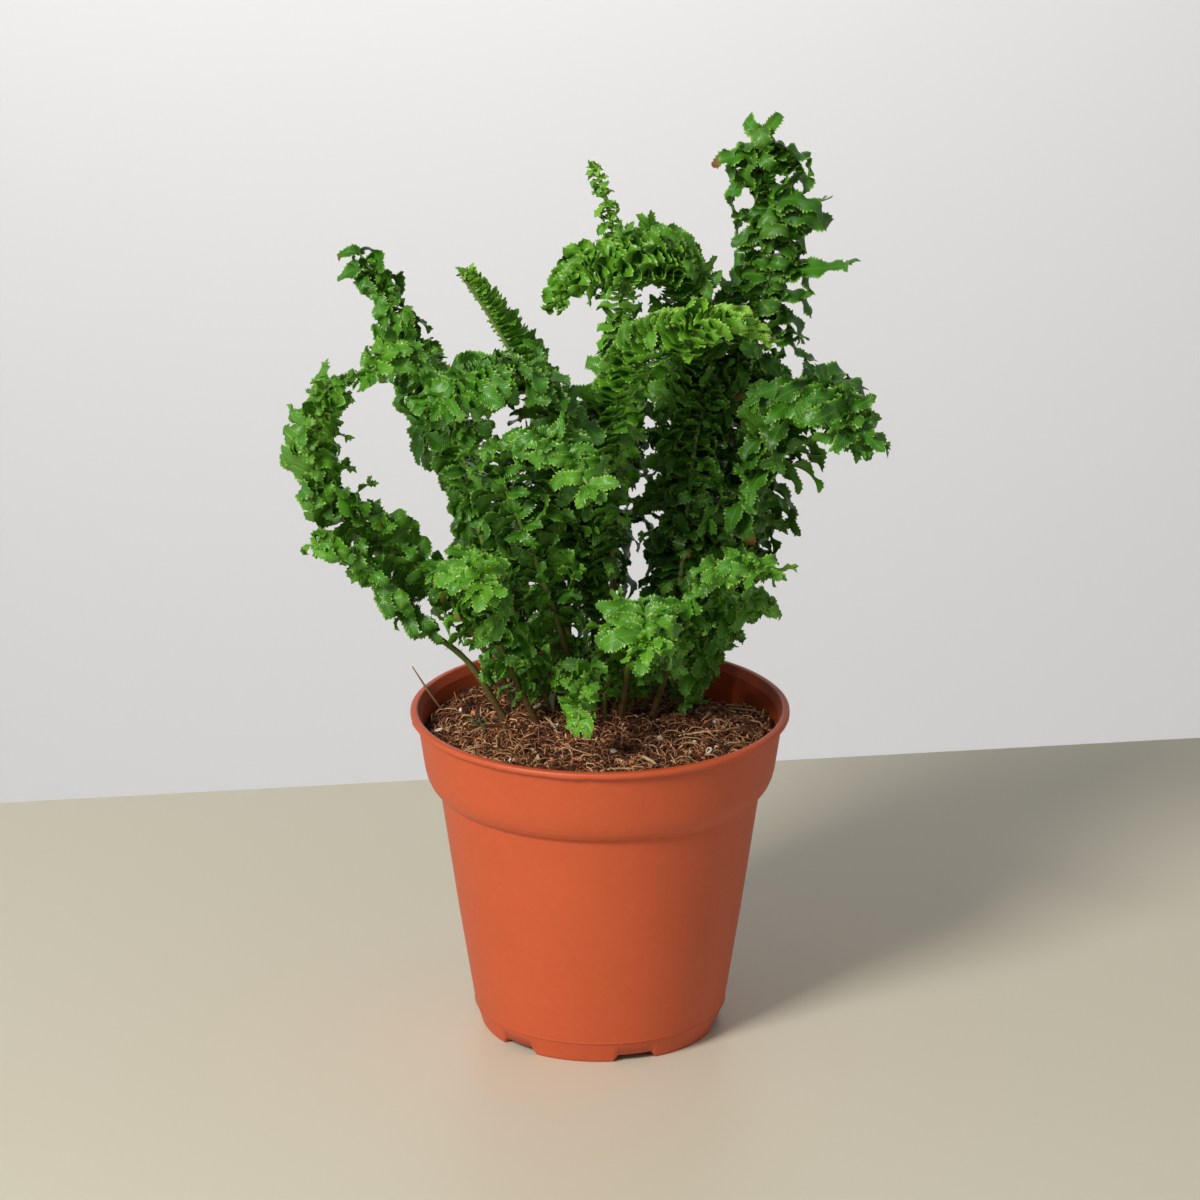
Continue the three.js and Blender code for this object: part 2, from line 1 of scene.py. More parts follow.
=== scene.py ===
# The looks of a curly Boston fern in its nursery pot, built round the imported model: fine toothed leaflets
# on every rachis, the moulded pot and the coir mix with what lies on it.
# Points are in millimetres until they become a mesh. +Z is up and -Y is towards the viewer.
import functools
import math

import bpy
import numpy as np
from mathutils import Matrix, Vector, noise


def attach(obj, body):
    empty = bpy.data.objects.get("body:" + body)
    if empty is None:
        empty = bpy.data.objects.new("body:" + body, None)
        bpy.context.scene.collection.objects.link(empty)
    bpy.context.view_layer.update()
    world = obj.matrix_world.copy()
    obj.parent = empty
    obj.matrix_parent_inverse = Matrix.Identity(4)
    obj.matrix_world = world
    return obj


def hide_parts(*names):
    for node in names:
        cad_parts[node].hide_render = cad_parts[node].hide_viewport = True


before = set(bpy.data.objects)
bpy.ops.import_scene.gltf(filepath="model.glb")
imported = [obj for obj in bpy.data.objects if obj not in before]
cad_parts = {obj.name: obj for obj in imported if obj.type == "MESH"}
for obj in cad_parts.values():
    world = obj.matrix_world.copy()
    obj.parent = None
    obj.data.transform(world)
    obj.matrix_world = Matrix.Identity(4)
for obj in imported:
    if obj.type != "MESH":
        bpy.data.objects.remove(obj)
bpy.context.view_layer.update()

MM = 0.001
Z = np.array([0, 0, 1])

# The pot, as in the solid
POT_HEIGHT = 95.4
RIM_R = 54
FOOT_R = 33.8
LINE_Z = 6.5
LINE_R = 36.2
NECK_Z = 72
NECK_R = 45.9
SHOULDER = [(46.5, 72.3), (47.6, 73.2), (48.7, 74.7), (49.5, 76.6), (50, 78.6)]
COLLAR_Z = 80.5
COLLAR_R = 50.3
COLLAR_TOP_R = 52.1
LIP_H = 1.9
FLOOR_UNDER_Z = 3
FLOOR_Z = 4.6
RING_T = 2.2
POT_SIDES = 180
NOTCHES = 6
NOTCH_AT = -73
NOTCH_W = 10
NOTCH_H = 2.2
NOTCH_SLOPE = 1.3
DRAIN_R = 3.2
DRAINS_ON_R = 21
BURRS = [-172, -97, -92, -45]
BURR_SPREAD = math.radians(6)
LIP_RAGGED = 0.16
LIP_TORN = 0.5
LINE_RAGGED = 0.07
RAGGED_FINE = 22
INSIDE = [(33.8, 4.6), (44.6, 72), (49, 80.5), (50.8, 92.9), (52.1, 95.4)]

# The mix, as in the solid
SOIL_Z = 88.5
SOIL_MOUND = 3.2
CROWN = (0, 15)
HEAP_SPREAD = 30
SOIL_SINK = 6
SINK_AT = (33, 35)
SINK_SPREAD = 16
SOIL_GAP = 0.25

# The leaflets
ROOT_DEPTH = 9
STIPE_HALF = 1.15
TIP_HALF = 0.55
LAST_SHARE = 0.985
ROUTE_STEPS = 900
TOOTH = 1  # from one tooth of a margin to the next
TOOTH_DEEP = 0.62
TOOTH_LEAN = 0.3
TOOTH_TILT = 0.4
TOOTH_STRAY = 0.15
LOBED = 0.12  # how far the margin swings in and out in its larger waves
PUCKER = 0.08  # how uneven a blade is between its midrib and its margin
BLADE_T = 0.24
COLUMNS = np.array([-1, -0.5, 0, 0.5, 1])
MIDDLE = len(COLUMNS) // 2
MIDRIB_T = 2.6
TOOTH_EDGE = 1.3
WIDEST = 7.2
CRESTED_FROM = 7
SCORCHED = 0.012
CROZIER_STEPS = 40
CROZIER_TURN = math.radians(430)
CROZIER_WAY = 7
AGE_RISE = 2.5
COVER_SIZE = 0.6
BUSHY_SIZE = 0.9
ROSETTE = (0.65, 0.95)  # lengths of the last leaflets as a share of those beside them
KNOT = (0.45, 0.8)
CLOSING = math.radians(20)  # how much further forward the last leaflets point
DRIFT_GAP = 11
ANGLES = ("forward", "lift", "roll", "bend", "twist", "fold", "cup", "ruffle")
LOBE = {
    "forward": (0, 0), "lift": (0, 0), "roll": (0, 0), "bend": (0, 40), "twist": (0, 50), "fold": (8, 8),
    "cup": (10, 20), "ruffle": (20, 15), "curls": [(1, -10, 60)],
}

# How the leaflets of a frond stand, as (middle, spread), angles in degrees: forward towards the frond's
# tip, lift towards its upper side, roll about the leaflet's own midrib, which at 90 sets its blade square
# to the rachis, bend within the blade, twist, fold at the midrib, cup of each half, ruffle of the margin.
# curls are the bends of the midrib towards the upper face, as (share of the leaflets, middle, spread). gap
# is the distance between leaflets of one side in mm, crowd what is left of it at the frond's tip, crest the
# share of leaflets that end in smaller ones, cover the chance that a small one stands on the rachis beside
# each, taper where they begin to grow shorter, crumple how much more unruly they are at the tip, alike how
# much of its stance a leaflet shares with its neighbours, uneven how much their lengths differ, and over
# how far in mm the foot of a leaflet reaches over the rachis.
HABITS = {
    "loose": dict(
        gap=2.6, crowd=0.68, width=0.46, crest=0.12, cover=0.45, taper=0.45, crumple=0.2, alike=0.45,
        uneven=0.25, over=0.6,
        forward=(6, 34), lift=(4, 36), roll=(80, 34), bend=(0, 32), twist=(0, 60), fold=(6, 8),
        cup=(14, 30), ruffle=(42, 22),
        curls=[(0.4, -230, 70), (0.25, -110, 60), (0.35, 200, 70)],
    ),
    "fan": dict(
        gap=2.6, crowd=0.66, width=0.45, crest=0.2, cover=0.5, taper=0.45, crumple=0.2, alike=0.45,
        uneven=0.25, over=0.6,
        forward=(16, 34), lift=(6, 40), roll=(52, 46), bend=(6, 36), twist=(0, 60), fold=(6, 8),
        cup=(12, 32), ruffle=(44, 22),
        curls=[(0.34, -170, 60), (0.38, -90, 50), (0.28, 70, 50)],
    ),
    "shingled": dict(
        gap=2.2, crowd=0.7, width=0.58, crest=0.2, cover=0.5, taper=0.72, crumple=0.3, alike=0.5,
        uneven=0.22, over=0.4,
        forward=(20, 26), lift=(0, 26), roll=(24, 30), bend=(0, 32), twist=(0, 50), fold=(6, 8),
        cup=(0, 28), ruffle=(40, 22),
        curls=[(0.45, 100, 50), (0.3, -140, 60), (0.25, -20, 40)],
    ),
    "stacked": dict(
        gap=2.4, crowd=0.74, width=0.5, crest=0.1, cover=0.35, taper=0.84, crumple=2.2, alike=0.6,
        uneven=0.1, over=2.4,
        forward=(-14, 10), lift=(0, 12), roll=(80, 11), bend=(58, 20), twist=(0, 22), fold=(2, 5),
        cup=(4, 16), ruffle=(34, 18),
        curls=[(1, 74, 26)],
    ),
    "spire": dict(
        gap=1.6, crowd=0.85, width=0.5, crest=0.05, cover=0.6, cover_size=0.3, taper=0.3, crumple=0.6,
        alike=0.3, uneven=0.2, over=0.7,
        forward=(0, 16), lift=(20, 20), roll=(80, 16), bend=(10, 26), twist=(0, 30), fold=(4, 6),
        cup=(14, 26), ruffle=(54, 20),
        curls=[(0.6, -90, 50), (0.4, 50, 50)],
    ),
    "folded": dict(
        gap=1.7, crowd=0.8, width=0.5, crest=0, cover=0.7, cover_size=0.2, taper=0.05, crumple=0.5,
        alike=0.45, uneven=0.12, over=0.8,
        forward=(-14, 9), lift=(56, 10), roll=(64, 10), bend=(0, 12), twist=(0, 20), fold=(2, 4),
        cup=(14, 12), ruffle=(34, 16),
        curls=[(1, 44, 20)],
    ),
}
# How a leaflet stands that is named on its own, or in the rosette at the tip of a fan: straighter and longer
# than its neighbours, and forked at its end
ACCENT = {
    "forward": (-4, 12), "lift": (0, 14), "roll": (50, 24), "bend": (-16, 16), "twist": (0, 60),
    "fold": (6, 8), "cup": (10, 20), "ruffle": (46, 20), "curls": [(1, -24, 40)],
}

# The fronds, as in the solid: lean is the direction in degrees from +X in which a frond arches over, leaflet
# the length of its longest, bare the share of its rachis without leaflets, tip the last leaflet as a share of
# the longest, age how young its leaflets look from the first to the last, from 0 to 1. On the low fronds at
# the front (left_low, front_mid, front_left, front_right, right_front, right_low, droop) age is partly their
# own and partly painted light: it is raised so that they look paler where the light from the front falls.
FRONDS = [
    dict(
        name="tall_right", habit="loose", seed=11, lean=90, leaflet=20, bare=0.2, tip=0.8, age=(0.05, 0.3),
        accents=[(0.72, 1, 22), (0.83, 1, 15), (0.6, 1, 17), (0.5, 1, 17), (0.68, -1, 20)],
        route=[
            (20, 19, 90), (33, 21, 121), (39, 24, 150), (42, 28, 178), (45, 32, 200), (49, 33, 222),
            (47, 31, 241), (45, 28, 256),
        ],
    ),
    dict(
        name="head_left", habit="stacked", seed=23, lean=180, bank=-12, leaflet=17, bare=0.22, tip=0.4,
        age=(0.2, 0.6), tuft=6, bushy=0.48,
        route=[
            (12, 22, 90), (19, 26, 125), (24, 27, 165), (28, 24, 198), (25, 17, 219), (14, 9, 227),
            (1, 2, 227), (-9, -4, 221), (-13, -7, 216),
        ],
    ),
    dict(
        name="spire_top", habit="spire", seed=31, lean=80, leaflet=10, bare=0.3, tip=0.3, age=(0.5, 0.8),
        crozier=True,
        route=[(2, 29, 90), (4, 31, 129), (5, 33, 168), (6, 32, 203), (4, 30, 226), (-1, 27, 247)],
    ),
    dict(
        name="head_right", habit="stacked", seed=41, lean=0, bank=12, leaflet=16, bare=0.24, tip=0.35,
        age=(0.2, 1), bushy=0.45,
        route=[
            (4, 12, 91), (-2, 3, 127), (-4, -4, 159), (-1, -7, 186), (9, -9, 205), (22, -11, 212),
            (36, -13, 213), (48, -14, 208),
        ],
    ),
    dict(
        name="upright_mid", habit="loose", seed=53, lean=90, leaflet=14, bare=0.1, tip=0.6, age=(0, 0.25),
        route=[
            (14, 14, 91), (22, 13, 123), (25, 13, 152), (28, 17, 174), (34, 26, 184), (42, 37, 186),
            (51, 46, 181),
        ],
    ),
    dict(
        name="right", habit="fan", seed=61, lean=-40, leaflet=17, bare=0.22, tip=0.9, age=(0.05, 0.25),
        tuft=11,
        route=[
            (28, 14, 90), (34, 15, 113), (40, 16, 134), (46, 15, 158), (52, 13, 175), (58, 8, 185),
            (63, 2, 189), (68, -4, 187), (70, -9, 182),
        ],
    ),
    dict(
        name="left_low", habit="loose", seed=71, lean=205, leaflet=12, bare=0.48, tip=0.6, age=(0.2, 0.5),
        route=[
            (-27, 3, 90), (-37, -2, 109), (-48, -8, 121), (-59, -14, 133), (-67, -18, 144), (-74, -22, 151),
            (-81, -24, 152),
        ],
    ),
    dict(
        name="left_curl", habit="shingled", seed=83, lean=-80, leaflet=11.5, bare=0.26, tip=0.5,
        age=(0.25, 0.45), tuft=2,
        accents=[(0.58, -1, 12), (0.7, -1, 9), (0.83, -1, 9), (0.91, -1, 8), (0.99, -1, 9)],
        route=[
            (-23, 11, 90), (-38, 5, 119), (-53, -1, 139), (-68, -7, 151), (-76, -12, 162), (-79, -15, 176),
            (-78, -17, 188), (-75, -18, 196), (-69, -19, 198),
        ],
    ),
    dict(
        name="upper_left", habit="loose", seed=97, lean=150, leaflet=15, bare=0.2, tip=0.7, age=(0.1, 0.3),
        route=[
            (-14, 23, 90), (-26, 23, 120), (-37, 22, 148), (-46, 20, 171), (-52, 20, 187), (-57, 22, 202),
            (-63, 26, 213), (-68, 30, 221),
        ],
    ),
    dict(
        name="spire_left", habit="folded", seed=101, lean=178, leaflet=17, bare=0.4, tip=0.2,
        age=(0.5, 0.85), crozier=True,
        route=[(-7, 30, 90), (-12, 33, 129), (-17, 36, 164), (-24, 37, 186), (-31, 36, 200), (-39, 34, 213)],
    ),
    dict(
        name="left_fan", habit="fan", seed=113, lean=205, leaflet=13, bare=0.3, tip=0.8, age=(0.15, 0.45),
        route=[
            (-19, 16, 90), (-29, 9, 125), (-36, 3, 157), (-41, -3, 182), (-47, -9, 198), (-56, -17, 205),
            (-63, -23, 202),
        ],
    ),
    dict(
        name="mid_left", habit="fan", seed=127, lean=-130, leaflet=15, bare=0.2, tip=0.85, age=(0.05, 0.3),
        route=[
            (-10, 10, 91), (-15, 2, 127), (-14, -7, 160), (-12, -15, 184), (-19, -23, 199), (-31, -31, 205),
            (-42, -40, 200),
        ],
    ),
    dict(
        name="front_mid", habit="fan", seed=131, lean=-75, leaflet=14, bare=0.2, tip=0.7, age=(0.15, 0.45),
        route=[
            (-5, 4, 92), (-12, -9, 124), (-20, -21, 152), (-27, -30, 176), (-19, -38, 187), (-9, -48, 187),
            (-3, -58, 180),
        ],
    ),
    dict(
        name="front_left", habit="fan", seed=149, lean=-110, leaflet=13, bare=0.2, tip=0.8,
        age=(0.25, 0.55),
        route=[
            (-18, -1, 91), (-26, -12, 113), (-31, -23, 131), (-34, -33, 145), (-35, -44, 153),
            (-32, -55, 151),
        ],
    ),
    dict(
        name="front_right", habit="fan", seed=151, lean=-85, leaflet=13, bare=0.3, tip=0.9, age=(0.3, 0.5),
        route=[(6, 1, 92), (8, -13, 113), (10, -28, 130), (12, -42, 138), (12, -54, 134)],
    ),
    dict(
        name="right_front", habit="fan", seed=163, lean=-45, leaflet=13, bare=0.3, tip=0.8, age=(0.25, 0.5),
        route=[(15, 4, 91), (21, -8, 115), (28, -20, 135), (36, -30, 148), (44, -38, 149)],
    ),
    dict(
        name="right_low", habit="loose", seed=167, lean=-15, leaflet=11, bare=0.22, tip=0.8, age=(0.3, 0.5),
        route=[(24, 7, 90), (30, 1, 108), (36, -5, 121), (42, -10, 129), (47, -14, 130)],
    ),
    dict(
        name="right_back", habit="loose", seed=173, lean=35, leaflet=12, bare=0.14, tip=0.9, age=(0, 0.2),
        route=[(25, 25, 90), (32, 33, 110), (39, 41, 126), (45, 46, 134), (50, 48, 134)],
    ),
    dict(
        name="back_left", habit="loose", seed=181, lean=130, leaflet=13, bare=0.12, tip=0.6, age=(0, 0.25),
        route=[(-16, 34, 90), (-27, 42, 120), (-37, 48, 148), (-46, 50, 168), (-56, 51, 177)],
    ),
    dict(
        name="back_mid", habit="loose", seed=191, lean=85, leaflet=15, bare=0.08, tip=0.6, age=(0, 0.25),
        route=[(1, 37, 90), (2, 44, 125), (5, 49, 158), (10, 52, 180), (18, 55, 190)],
    ),
    dict(
        name="back_right", habit="loose", seed=193, lean=60, leaflet=13, bare=0.08, tip=0.6, age=(0, 0.25),
        route=[(14, 31, 90), (22, 40, 118), (31, 47, 142), (40, 53, 156)],
    ),
    dict(
        name="droop", habit="fan", seed=199, lean=-90, leaflet=7.5, bare=0.58, tip=0.9, age=(0.4, 0.6),
        tuft=3,
        route=[(-3, -5, 92), (-2, -13, 108), (-3, -23, 115), (-5, -31, 112), (-6, -36, 104)],
    ),
]
YOUNG = ("spire_top", "spire_left")


# Small helpers
def unit(v):
    return v / np.linalg.norm(v, axis=-1, keepdims=True)


def mix(a, b, t):
    return a + (b - a) * t


def turned(v, axis, angle):
    """v turned about a unit axis, in radians."""
    c, s = math.cos(angle), math.sin(angle)
    return v * c + np.cross(axis, v) * s + axis * (axis @ v) * (1 - c)


# Meshes
class Build:
    """Points, faces and values for each point, gathered until they become one mesh."""

    def __init__(self, *names):
        self.points, self.faces, self.rims = [], [], []
        self.values = {name: [] for name in names}
        self.count = 0

    def add(self, points, faces, rim=None, **values):
        self.points.append(points)
        self.faces += [f + self.count for f in faces]
        self.rims.append(np.zeros(len(points), bool) if rim is None else rim)
        for name, kept in self.values.items():
            kept.append(np.broadcast_to(values[name], (len(points), 3)))
        self.count += len(points)

    def piece(self, name, material, slot, node=None):
        """The mesh as a piece of the scene, that rides on the part and may stand for one of its nodes."""
        mesh = bpy.data.meshes.new(name)
        points = np.concatenate(self.points) * MM
        mesh.vertices.add(len(points))
        mesh.vertices.foreach_set("co", points.astype(np.float32).ravel())
        corners = np.concatenate([f.ravel() for f in self.faces])
        sizes = np.concatenate([np.full(len(f), f.shape[1]) for f in self.faces])
        mesh.loops.add(len(corners))
        mesh.loops.foreach_set("vertex_index", corners.astype(np.int32))
        mesh.polygons.add(len(sizes))
        mesh.polygons.foreach_set("loop_start", (np.cumsum(sizes) - sizes).astype(np.int32))
        mesh.update(calc_edges=True)
        mesh.validate()
        mesh.shade_smooth()
        ends = np.zeros(len(mesh.edges) * 2, np.int32)
        mesh.edges.foreach_get("vertices", ends)
        rim = np.concatenate(self.rims)[ends.reshape(-1, 2)].all(axis=1)
        mesh.edges.foreach_set("use_edge_sharp", rim)
        for key, kept in self.values.items():
            values = np.concatenate(kept).astype(np.float32)
            mesh.attributes.new(key, "FLOAT_VECTOR", "POINT").data.foreach_set("vector", values.ravel())
        piece = bpy.data.objects.new(name, mesh)
        bpy.context.scene.collection.objects.link(piece)
        mesh.materials.append(material)
        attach(piece, "root")
        if node:
            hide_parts(node)
        return piece


def tubes(lines, radii, sides):
    """Closed round tubes along many lines at once. lines: (tubes, points, 3); radii: (tubes, points)."""
    count, steps, _ = lines.shape
    along = unit(np.gradient(lines, axis=1))
    side = unit(np.cross(along, np.array([0.31, 0.17, 0.94])))
    up = np.cross(side, along)
    angles = np.arange(sides) / sides * 2 * math.pi
    out = np.cos(angles)[:, None] * side[:, :, None] + np.sin(angles)[:, None] * up[:, :, None]
    points = lines[:, :, None] + radii[..., None, None] * out
    index = np.arange(count * steps * sides).reshape(count, steps, sides)
    after = np.roll(index, -1, axis=2)
    quads = np.stack([index[:, :-1], after[:, :-1], after[:, 1:], index[:, 1:]], axis=-1).reshape(-1, 4)
    return points.reshape(-1, 3), [quads, index[:, 0, ::-1], index[:, -1]]


# Materials
def shader(name, **sockets):
    """A new material and a function that adds nodes to it. Plain values are set on the sockets themselves."""
    material = bpy.data.materials.new(name)
    material.use_nodes = True
    tree = material.node_tree
    tree.nodes.clear()

    def add(kind, inputs=(), **settings):
        node = tree.nodes.new("ShaderNode" + kind)
        for key, value in settings.items():
            setattr(node, key, value)
        for key, value in dict(inputs).items():
            if isinstance(value, bpy.types.NodeSocket):
                tree.links.new(value, node.inputs[key])
            else:
                node.inputs[key].default_value = value
        return node

    return material, add


def ramp(add, value, *stops):
    """A colour ramp of (position, colour) stops."""
    node = add("ValToRGB", {"Fac": value})
    elements = node.color_ramp.elements
    while len(elements) < len(stops):
        elements.new(0.5)
    for element, (position, colour) in zip(elements, stops):
        element.position = position
        element.color = (*colour, 1)
    return node.outputs["Color"]


def blended(add, factor, a, b, kind="MIX"):
    node = add("MixRGB", {"Fac": factor, "Color1": a, "Color2": b}, blend_type=kind)
    return node.outputs["Color"]


def maths(add, operation, *values, clamp=False):
    return add("Math", dict(enumerate(values)), operation=operation, use_clamp=clamp).outputs["Value"]


def times(add, a, b, clamp=False):
    return maths(add, "MULTIPLY", a, b, clamp=clamp)


def plus(add, a, b, clamp=False):
    return maths(add, "ADD", a, b, clamp=clamp)


def swing(add, value, amount):
    """A value from 0 to 1 made to swing about zero, by half of amount either way."""
    return times(add, maths(add, "SUBTRACT", value, 0.5), amount)


def split(add, name):
    """The three numbers of a value that the mesh keeps at each point."""
    kept = add("Attribute", attribute_name=name)
    return add("SeparateXYZ", {"Vector": kept.outputs["Vector"]}).outputs


def speckle(add, scale, detail=2.0, roughness=0.5):
    place = add("TexCoord").outputs["Object"]
    inputs = {"Vector": place, "Scale": scale, "Detail": detail, "Roughness": roughness}
    return add("TexNoise", inputs).outputs["Fac"]


def bump(add, height, strength, distance):
    inputs = {"Height": height, "Strength": strength, "Distance": distance}
    return add("Bump", inputs).outputs["Normal"]


DARK_LEAF = (0.016, 0.125, 0.003)
LEAF = (0.046, 0.25, 0.005)
YOUNG_LEAF = (0.15, 0.45, 0.014)
YOUNGEST_LEAF = (0.36, 0.66, 0.05)
UNDERSIDE = (0.11, 0.31, 0.025)
# Pale margin and teeth: partly the leaflets' own paler edge, partly a painted highlight where the edges catch
# the light
PALE_EDGE_AND_HIGHLIGHT = (0.56, 0.88, 0.15)
SCORCH = (0.26, 0.1, 0.02)
GLOW = (0.25, 0.6, 0.03)
AGE_CHANCE = 0.3
AGE_BLOTCH = 0.35
UNDER_PALE = 0.55
VEIN_GAP = 0.75
VEIN_SLANT = 0.75
VEIN_PALE = 0.2
MIDRIB_PALE = 0.26
MIDRIB_NARROW = 2.6
EDGE_FROM = 0.88
EDGE_NARROW = 2.6
THROUGH = 0.27
GLOSS = 0.62
LEAF_ROUGH = 0.24
LEAF_ROUGH_SWING = 0.2
VEIN_SUNK = -0.6
BLOTCH_RAISED = 0.8
LEAF_RELIEF = 0.00015


def leaf_green(add, age, chance, under, blotch):
    """Green by age, uneven from leaflet to leaflet and within each, paler on the underside."""
    tone = plus(add, age, swing(add, chance, AGE_CHANCE))
    tone = plus(add, tone, swing(add, blotch, AGE_BLOTCH), clamp=True)
    green = ramp(add, tone, (0, DARK_LEAF), (0.3, LEAF), (0.7, YOUNG_LEAF), (1, YOUNGEST_LEAF))
    return blended(add, times(add, under, UNDER_PALE), green, (*UNDERSIDE, 1))


def leaf_lines(add, age):
    """How pale the midrib, the veins that run forward from it and the margin make a blade, and the veins. The
    pale margin and teeth are partly the leaflet's own paler edge and partly a painted highlight where the
    edge catches the light.
    """
    along, across, edge = split(add, "leaf_place")
    width = maths(add, "ABSOLUTE", across)
    slant = maths(add, "SUBTRACT", along, times(add, width, VEIN_SLANT))
    wave = maths(add, "SINE", times(add, slant, 2 * math.pi / VEIN_GAP))
    vein = maths(add, "POWER", maths(add, "MULTIPLY_ADD", wave, 0.5, 0.5), 4.0)
    midrib = maths(add, "SUBTRACT", 1.0, times(add, width, MIDRIB_NARROW), clamp=True)
    line = maths(add, "MAXIMUM", times(add, vein, VEIN_PALE), times(add, midrib, MIDRIB_PALE))
    # The margin's paleness, stronger on younger leaflets: partly their own paler edge, partly a painted
    # highlight
    outer = times(add, maths(add, "SUBTRACT", edge, EDGE_FROM), EDGE_NARROW, clamp=True)
    rim = times(add, outer, maths(add, "MULTIPLY_ADD", age, 0.5, 0.62), clamp=True)
    return maths(add, "MAXIMUM", line, rim), vein


def leaf_material():
    """Green with paler lines, a pale margin that is partly a painted highlight, and dead brown tips,
    feather-veined, glossy, letting some light through.
    """
    material, add = shader("fern_leaf")
    age, chance, under = split(add, "leaf_tone")
    scorch, _, _ = split(add, "leaf_scorch")
    blotch = speckle(add, 260, 3)
    green = leaf_green(add, age, chance, under, blotch)
    pale, vein = leaf_lines(add, age)
    green = blended(add, pale, green, (*PALE_EDGE_AND_HIGHLIGHT, 1))
    colour = blended(add, scorch, green, (*SCORCH, 1))
    relief = plus(add, times(add, vein, VEIN_SUNK), times(add, blotch, BLOTCH_RAISED))
    rough = plus(add, LEAF_ROUGH, times(add, blotch, LEAF_ROUGH_SWING))
    normal = bump(add, relief, 0.8, LEAF_RELIEF)
    blade = add("BsdfPrincipled", {"Base Color": colour, "Roughness": rough, "Normal": normal})
    blade.inputs["Specular IOR Level"].default_value = GLOSS
    glow = blended(add, 0.5, colour, (*GLOW, 1))
    through = add("BsdfTranslucent", {"Color": glow, "Normal": normal})
    both = add("MixShader", {0: THROUGH, 1: blade.outputs["BSDF"], 2: through.outputs["BSDF"]})
    add("OutputMaterial", {"Surface": both.outputs["Shader"]})
    return material


def finished(add, material, colour, roughness, normal):
    """Puts a plain surface of a colour, roughness and relief on a material."""
    surface = add("BsdfPrincipled", {"Base Color": colour, "Roughness": roughness, "Normal": normal})
    add("OutputMaterial", {"Surface": surface.outputs["BSDF"]})
    return material


STEM_FOOT = (0.1, 0.042, 0.018)
STEM_LOW = (0.15, 0.09, 0.025)
STEM_OLIVE = (0.14, 0.17, 0.035)
STEM_GREEN = (0.17, 0.29, 0.05)
SCALE = (0.24, 0.12, 0.05)
STEM_ROUGH = 0.6
STEM_RELIEF = 0.0002


def stem_material():
    """Brown and scaly at the foot, then olive, then green."""
    material, add = shader("stem_skin")
    height, _, scale = split(add, "stem_tone")
    grain = speckle(add, 900, 3, 0.6)
    tone = plus(add, height, swing(add, grain, 0.5), clamp=True)
    skin = ramp(add, tone, (0, STEM_FOOT), (0.22, STEM_LOW), (0.5, STEM_OLIVE), (1, STEM_GREEN))
    colour = blended(add, scale, skin, (*SCALE, 1))
    return finished(add, material, colour, STEM_ROUGH, bump(add, grain, 0.6, STEM_RELIEF))


TERRACOTTA = [(0.25, (0.53, 0.08, 0.02)), (0.75, (0.58, 0.09, 0.024))]
SCUFFED = (0.72, 0.27, 0.15)
BURR = (0.8, 0.33, 0.2)
POT_ROUGH = 0.42
POT_ROUGH_SWING = 0.16
POT_RELIEF = 0.0001


def pot_material():
    """Injection-moulded terracotta plastic: a fine satin grain, faint scuffs, paler burrs on its edges."""
    material, add = shader("moulded_terracotta")
    burr, _, _ = split(add, "pot_wear")
    grain = speckle(add, 1600, 2)
    colour = ramp(add, speckle(add, 35, 4), *TERRACOTTA)
    scuff = maths(add, "POWER", speckle(add, 420, 5, 0.75), 5.0)
    colour = blended(add, times(add, scuff, 0.5, clamp=True), colour, (*SCUFFED, 1))
    colour = blended(add, burr, colour, (*BURR, 1))
    rough = plus(add, POT_ROUGH, times(add, grain, POT_ROUGH_SWING))
    return finished(add, material, colour, rough, bump(add, grain, 0.22, POT_RELIEF))


DUST = [(0.3, (0.025, 0.01, 0.005)), (0.55, (0.15, 0.05, 0.02)), (0.8, (0.36, 0.15, 0.06))]
DAMP = (0.05, 0.02, 0.01)
DUST_ROUGH = 0.95
DUST_RELIEF = 0.0006


def soil_material():
    """Dark damp coir dust under the fibres."""
    material, add = shader("coir_dust")
    grain = speckle(add, 1100, 5, 0.7)
    patch = speckle(add, 120, 3)
    colour = ramp(add, grain, *DUST)
    colour = blended(add, times(add, patch, 0.5), colour, (*DAMP, 1), "MULTIPLY")
    return finished(add, material, colour, DUST_ROUGH, bump(add, grain, 1.0, DUST_RELIEF))


# Colours of the fibres and litter, from the darkest to the palest
COIR = [
    (0, (0.02, 0.005, 0.002)), (0.35, (0.13, 0.036, 0.012)), (0.7, (0.46, 0.17, 0.06)),
    (1, (0.86, 0.5, 0.24)),
]
STRAW = [(0, (0.2, 0.1, 0.04)), (0.5, (0.45, 0.3, 0.14)), (1, (0.66, 0.52, 0.32))]
PALE_ROOT = [(0, (0.5, 0.42, 0.28)), (1, (0.8, 0.75, 0.6))]
PERLITE = [(0, (0.6, 0.58, 0.52)), (1, (0.85, 0.84, 0.8))]
SHOOT = [(0, (0.2, 0.36, 0.08)), (1, (0.62, 0.7, 0.42))]
FIBRE_ROUGH = 0.75
FIBRE_RELIEF = 0.0001


def fibre_material(name, stops):
    """One colour a fibre, from a ramp, mottled along it."""
    material, add = shader(name)
    chance, _, _ = split(add, "fibre_tone")
    grain = speckle(add, 700, 3)
    tone = plus(add, chance, swing(add, grain, 0.4), clamp=True)
    colour = ramp(add, tone, *stops)
    return finished(add, material, colour, FIBRE_ROUGH, bump(add, grain, 0.5, FIBRE_RELIEF))


